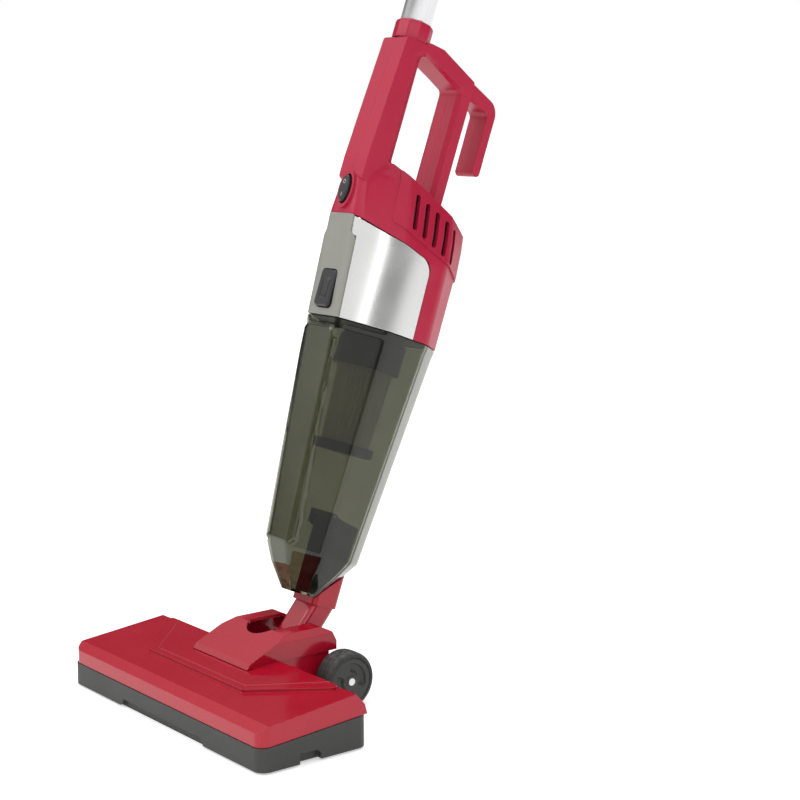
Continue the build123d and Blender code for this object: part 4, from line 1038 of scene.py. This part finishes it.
SHROUD_TOP = 0.3566
SHROUD_FALL = 0.0268 / 0.0944
SHROUD_TOP_U = -0.090
SHROUD_ARC = 0.010
SHROUD_SEAM_GAP = 0.0002
SHROUD_WALL = 0.0018
SPINE_STEP = 0.333
SPINE_HALF_LOW, SPINE_HALF_HIGH = 0.0203, 0.0158
SHROUD_ROWS = 90
SHROUD_COLUMNS = 110


def make_shroud():
    """Shroud: the unit's sections from the spine's edge to the rear seam, up to a sloping top.

    The top line falls towards the back as w = a - b(u - u0), and its corner at the seam is
    rounded by an arc. Both sides are one grid each, mirrored across the middle.
    """
    low, high = stick_extent("silver_shroud")
    seam_u, base_w = high[1] - SHROUD_SEAM_GAP, low[2]
    heights = np.linspace(base_w, 0.362, SHROUD_ROWS)
    x, u = stick_sections(UNIT_LEVELS, np.minimum(heights, UNIT_LEVELS[-1][0] - 0.0001), 720)
    # of a side's 360 columns the first half faces the front, and the seam is within 30 to 330
    places = np.arange(360)
    shells = []
    for side_x, side_u in ((x, u), (x[:, :0:-1], u[:, :0:-1])):
        patch = np.empty((2, SHROUD_ROWS, SHROUD_COLUMNS))
        for row, height in enumerate(heights):
            half_x, half_u = side_x[row, :360], side_u[row, :360]
            edge_x = SPINE_HALF_LOW if height < SPINE_STEP else SPINE_HALF_HIGH
            start = np.interp(edge_x, np.abs(half_x[:180]), places[:180])
            end = np.interp(seam_u, half_u[30:330], places[30:330])
            at = np.linspace(start, end, SHROUD_COLUMNS)
            patch[:, row] = np.interp(at, places, half_x), np.interp(at, places, half_u)
        top_u = patch[1, 60]
        past = np.clip(top_u - (seam_u - SHROUD_ARC), 0, SHROUD_ARC)
        top = SHROUD_TOP - SHROUD_FALL * (top_u - SHROUD_TOP_U)
        top = top - (SHROUD_ARC - np.sqrt(SHROUD_ARC ** 2 - past ** 2))
        w = base_w + np.linspace(0, 1, 70)[:, None] * (top - base_w)
        row_at = (w - base_w) / (heights[-1] - base_w) * (SHROUD_ROWS - 1)
        below = np.clip(np.floor(row_at).astype(int), 0, SHROUD_ROWS - 2)
        part = row_at - below
        column = np.arange(SHROUD_COLUMNS)
        at_x, at_u = patch[:, below, column] * (1 - part) + patch[:, below + 1, column] * part
        shells.append(grid_shell(at_stick(at_x, at_u, w), wrap_cols=False))
    made = new_piece("shroud_skin", shells, "motor_unit", "silver_paint", 30)
    turn_outwards(made.data)
    thicken(made, SHROUD_WALL, 0.0004)
    settle(made)
    smooth_facing(made, shroud_facing)
    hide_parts("silver_shroud")


FACING_START_U = -0.054
FACING_SPAN = 0.050
FACING_FRONT, FACING_SIDE = math.radians(50), math.radians(-6)


def shroud_facing(local, normals):
    """On the outer face the normal turns evenly from the spine's edge to the side, by u."""
    side = np.sign(local[:, 0])
    outer = (normals @ RIGHT) * side + 0.35 * (normals @ -BACK) > 0.55
    share = np.clip((local[:, 1] - FACING_START_U) / FACING_SPAN, 0, 1)
    turn = FACING_FRONT * (1 - share) + FACING_SIDE * share
    smooth = (side * np.cos(turn))[:, None] * RIGHT - np.sin(turn)[:, None] * BACK
    return np.where(outer[:, None], smooth, normals)


class VACUUM_OT_controls(bpy.types.Operator):
    """Release button and power rocker with its on and off marks."""

    bl_idname = "vacuum.controls"
    bl_label = "Controls"

    def execute(self, context):
        """The button and rocker are their nodes with rounded edges, with raised details on top."""
        softened("release_button", 0.0007, segments=3)
        softened("power_rocker", 0.0006, segments=3)
        make_button_pad()
        make_rocker_marks()
        return {"FINISHED"}


def cushion_grid(half_x, half_w, rise):
    """A pillow patch: rise times (1 - |a|^6)(1 - |b|^6) over a rounded rectangle."""
    a = np.linspace(-1, 1, 33)
    grid_a, grid_b = np.meshgrid(a, a, indexing="ij")
    height = rise * (1 - np.abs(grid_a) ** 6) * (1 - np.abs(grid_b) ** 6)
    return grid_a * half_x, grid_b * half_w, height


PAD_HALF_X, PAD_HALF_W, PAD_RISE = 0.0048, 0.0088, 0.0008


def make_button_pad():
    """A raised pad on the button's face, a pillow patch over a flat one below the face."""
    low, high = stick_extent("release_button")
    middle = high[2] - 0.0150
    x, w, rise = cushion_grid(PAD_HALF_X, PAD_HALF_W, PAD_RISE)
    front = at_stick(x, low[1] + 0.0001 - rise, w + middle)
    behind = at_stick(x, low[1] + 0.0006 + 0 * rise, w + middle)
    shells = [grid_shell(front, wrap_cols=False), grid_shell(behind, wrap_cols=False)]
    new_piece("button_pad", shells, "button", "black_plastic", 50)


MARK_OFFSET = 0.0052
RING_RADIUS = 0.0014
RING_SECTION = 0.00028
BAR_HALF = 0.0017
BAR_SECTION = 0.0003


def make_rocker_marks():
    """Off mark: a thin ring; on mark: a short bar; both are partly sunk into the rocker."""
    low, high = stick_extent("power_rocker")
    face = low[1] + 0.0002
    middle = (low[2] + high[2]) / 2
    turn = full_turn(12)
    profile = np.stack((RING_RADIUS + RING_SECTION * np.cos(turn), RING_SECTION * np.sin(turn)), axis=1)
    ring = revolved(profile, at_stick(0.0, face, middle + MARK_OFFSET), BACK, 40, ring=True)
    along = np.linspace(-BAR_HALF, BAR_HALF, 9)[:, None]
    girth = full_turn(16)
    taper = BAR_SECTION * (1 - (np.abs(along) / 0.0019) ** 8)
    bar = at_stick(taper * np.cos(girth), face + taper * np.sin(girth), middle - MARK_OFFSET + along)
    new_piece("rocker_marks", [ring, grid_shell(bar, caps=True)], "rocker", "light_plastic", 60)


class VACUUM_OT_tube(bpy.types.Operator):
    """Brushed tube, faceted collar, ribbed grip and upper cord hook."""

    bl_idname = "vacuum.tube"
    bl_label = "Tube and grip"

    def execute(self, context):
        """Turned and faceted surfaces about the tube's axis."""
        make_tube()
        make_collar()
        make_grip()
        softened("upper_cord_hook", 0.0010)
        return {"FINISHED"}


TUBE_WALL = 0.0012
TUBE_ROUND = 0.0004


def make_tube():
    """Tube: a closed ring profile with small end rounds, turned about its axis."""
    bottom, top, radius, centre = turned_node("tube")
    inner = radius - TUBE_WALL
    profile = [
        (radius, bottom + TUBE_ROUND), (radius, top - TUBE_ROUND), (radius - TUBE_ROUND, top),
        (inner + TUBE_ROUND / 2, top), (inner, top - TUBE_ROUND),
        (inner, bottom + TUBE_ROUND), (inner + TUBE_ROUND / 2, bottom), (radius - TUBE_ROUND, bottom),
    ]
    shell = revolved(profile, centre, STICK, 96, ring=True)
    made = new_piece("tube_barrel", [shell], "tube_unit", "brushed_tube", 50)
    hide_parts("tube")


COLLAR_SIDES = 10
COLLAR_BORE = 0.01265
COLLAR_CORNER = 0.992
# the collar's outline rows: share of its height, and how far each is drawn in
COLLAR_RISE = (0.0, 0.02, 0.06, 0.8, 0.9, 0.96, 1.0)
COLLAR_SHRINK = (0.0008, 0.0001, 0.0, 0.0, 0.0002, 0.0007, 0.0016)


def make_collar():
    """Collar: r(t) is a ten-sided outline with soft corners, narrowed at the rounded top."""
    bottom, top, radius, centre = turned_node("collar")
    turn, step = full_turn(200), 2 * np.pi / COLLAR_SIDES
    slice_turn = np.mod(turn + step / 2, step) - step / 2
    facet = np.minimum(math.cos(step / 2) / np.cos(slice_turn), COLLAR_CORNER)
    height = bottom + (top - bottom) * np.array(COLLAR_RISE)
    outer = radius * facet - np.array(COLLAR_SHRINK)[:, None]
    r = np.concatenate((outer, np.full((2, turn.size), COLLAR_BORE)), axis=0)
    h = np.concatenate((height, height[[-1]], height[[0]]))[:, None]
    middle = (centre - PIVOT) @ BACK
    points = at_stick(r * np.cos(turn), middle + r * np.sin(turn), h)
    shell = grid_shell(points, wrap_rows=True)
    made = new_piece("collar_ring", [shell], "motor_unit", "red_satin", 30)
    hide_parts("collar")


GRIP_INSET = 0.0020
GRIP_BARREL = 0.0016
GRIP_LIP = 0.0012
GRIP_BORE = 0.0125
RIB_DEPTH = 0.0007
RIB_PITCH = 0.0062
RIB_SPAN = (0.16, 0.80)
NOSE_START = 0.92


def make_grip():
    """Grip: r(h) = a gentle barrel less evenly spaced ring grooves, closed by a rounded nose."""
    bottom, top, radius, centre = turned_node("hand_grip")
    share = np.linspace(0, 1, 260)
    length = top - bottom
    barrel = radius - GRIP_INSET + GRIP_BARREL * np.sin(np.pi * share)
    lip = GRIP_LIP * rising(share, 0.06, -0.004)
    ribbed = (share > RIB_SPAN[0]) & (share < RIB_SPAN[1])
    ribs = RIB_DEPTH * np.abs(np.sin(np.pi * share * length / RIB_PITCH)) ** 0.5
    body = barrel + lip - np.where(ribbed, RIB_DEPTH - ribs, 0.0)
    nose = np.clip((share - NOSE_START) / (1 - NOSE_START), 0, 1)
    body = body * np.sqrt(np.clip(1 - nose ** 2.6, 0, 1))
    body = np.clip(body, 0.0004, radius)
    profile = np.vstack(([(GRIP_BORE, bottom)], np.stack((body, bottom + share * length), axis=1)))
    made = new_piece("grip_sleeve", [revolved(profile, centre, STICK, 72)], "tube_unit", "grip_plastic", 50)
    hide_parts("hand_grip")


OPERATORS = (
    VACUUM_OT_stage,
    VACUUM_OT_nozzle,
    VACUUM_OT_wheels,
    VACUUM_OT_cup,
    VACUUM_OT_filter,
    VACUUM_OT_motor_unit,
    VACUUM_OT_controls,
    VACUUM_OT_tube,
)


class VACUUM_PT_pieces(bpy.types.Panel):
    """Sidebar list of the pieces and their sizes."""

    bl_label = "Stick Vacuum Cleaner"
    bl_idname = "VACUUM_PT_pieces"
    bl_space_type = "VIEW_3D"
    bl_region_type = "UI"
    bl_category = "Vacuum"

    def draw(self, context):
        """Lists every setting, then every operator."""
        for looks in (context.scene.nozzle_looks, context.scene.stick_looks):
            for name in looks.__annotations__:
                self.layout.prop(looks, name)
        for operator in OPERATORS:
            self.layout.operator(operator.bl_idname)


CLASSES = (NozzleLooks, StickLooks, *OPERATORS, VACUUM_PT_pieces)


def register():
    """Registers the classes and puts the settings on the scene."""
    for made in CLASSES:
        bpy.utils.register_class(made)
    bpy.types.Scene.nozzle_looks = PointerProperty(type=NozzleLooks)
    bpy.types.Scene.stick_looks = PointerProperty(type=StickLooks)


def unregister():
    """Takes the settings and the classes away again."""
    del bpy.types.Scene.stick_looks
    del bpy.types.Scene.nozzle_looks
    for made in reversed(CLASSES):
        bpy.utils.unregister_class(made)


def main():
    """Builds every piece."""
    register()
    for operator in OPERATORS:
        area, name = operator.bl_idname.split(".")
        getattr(getattr(bpy.ops, area), name)()
    bpy.context.view_layer.update()


if __name__ == "__main__":
    main()
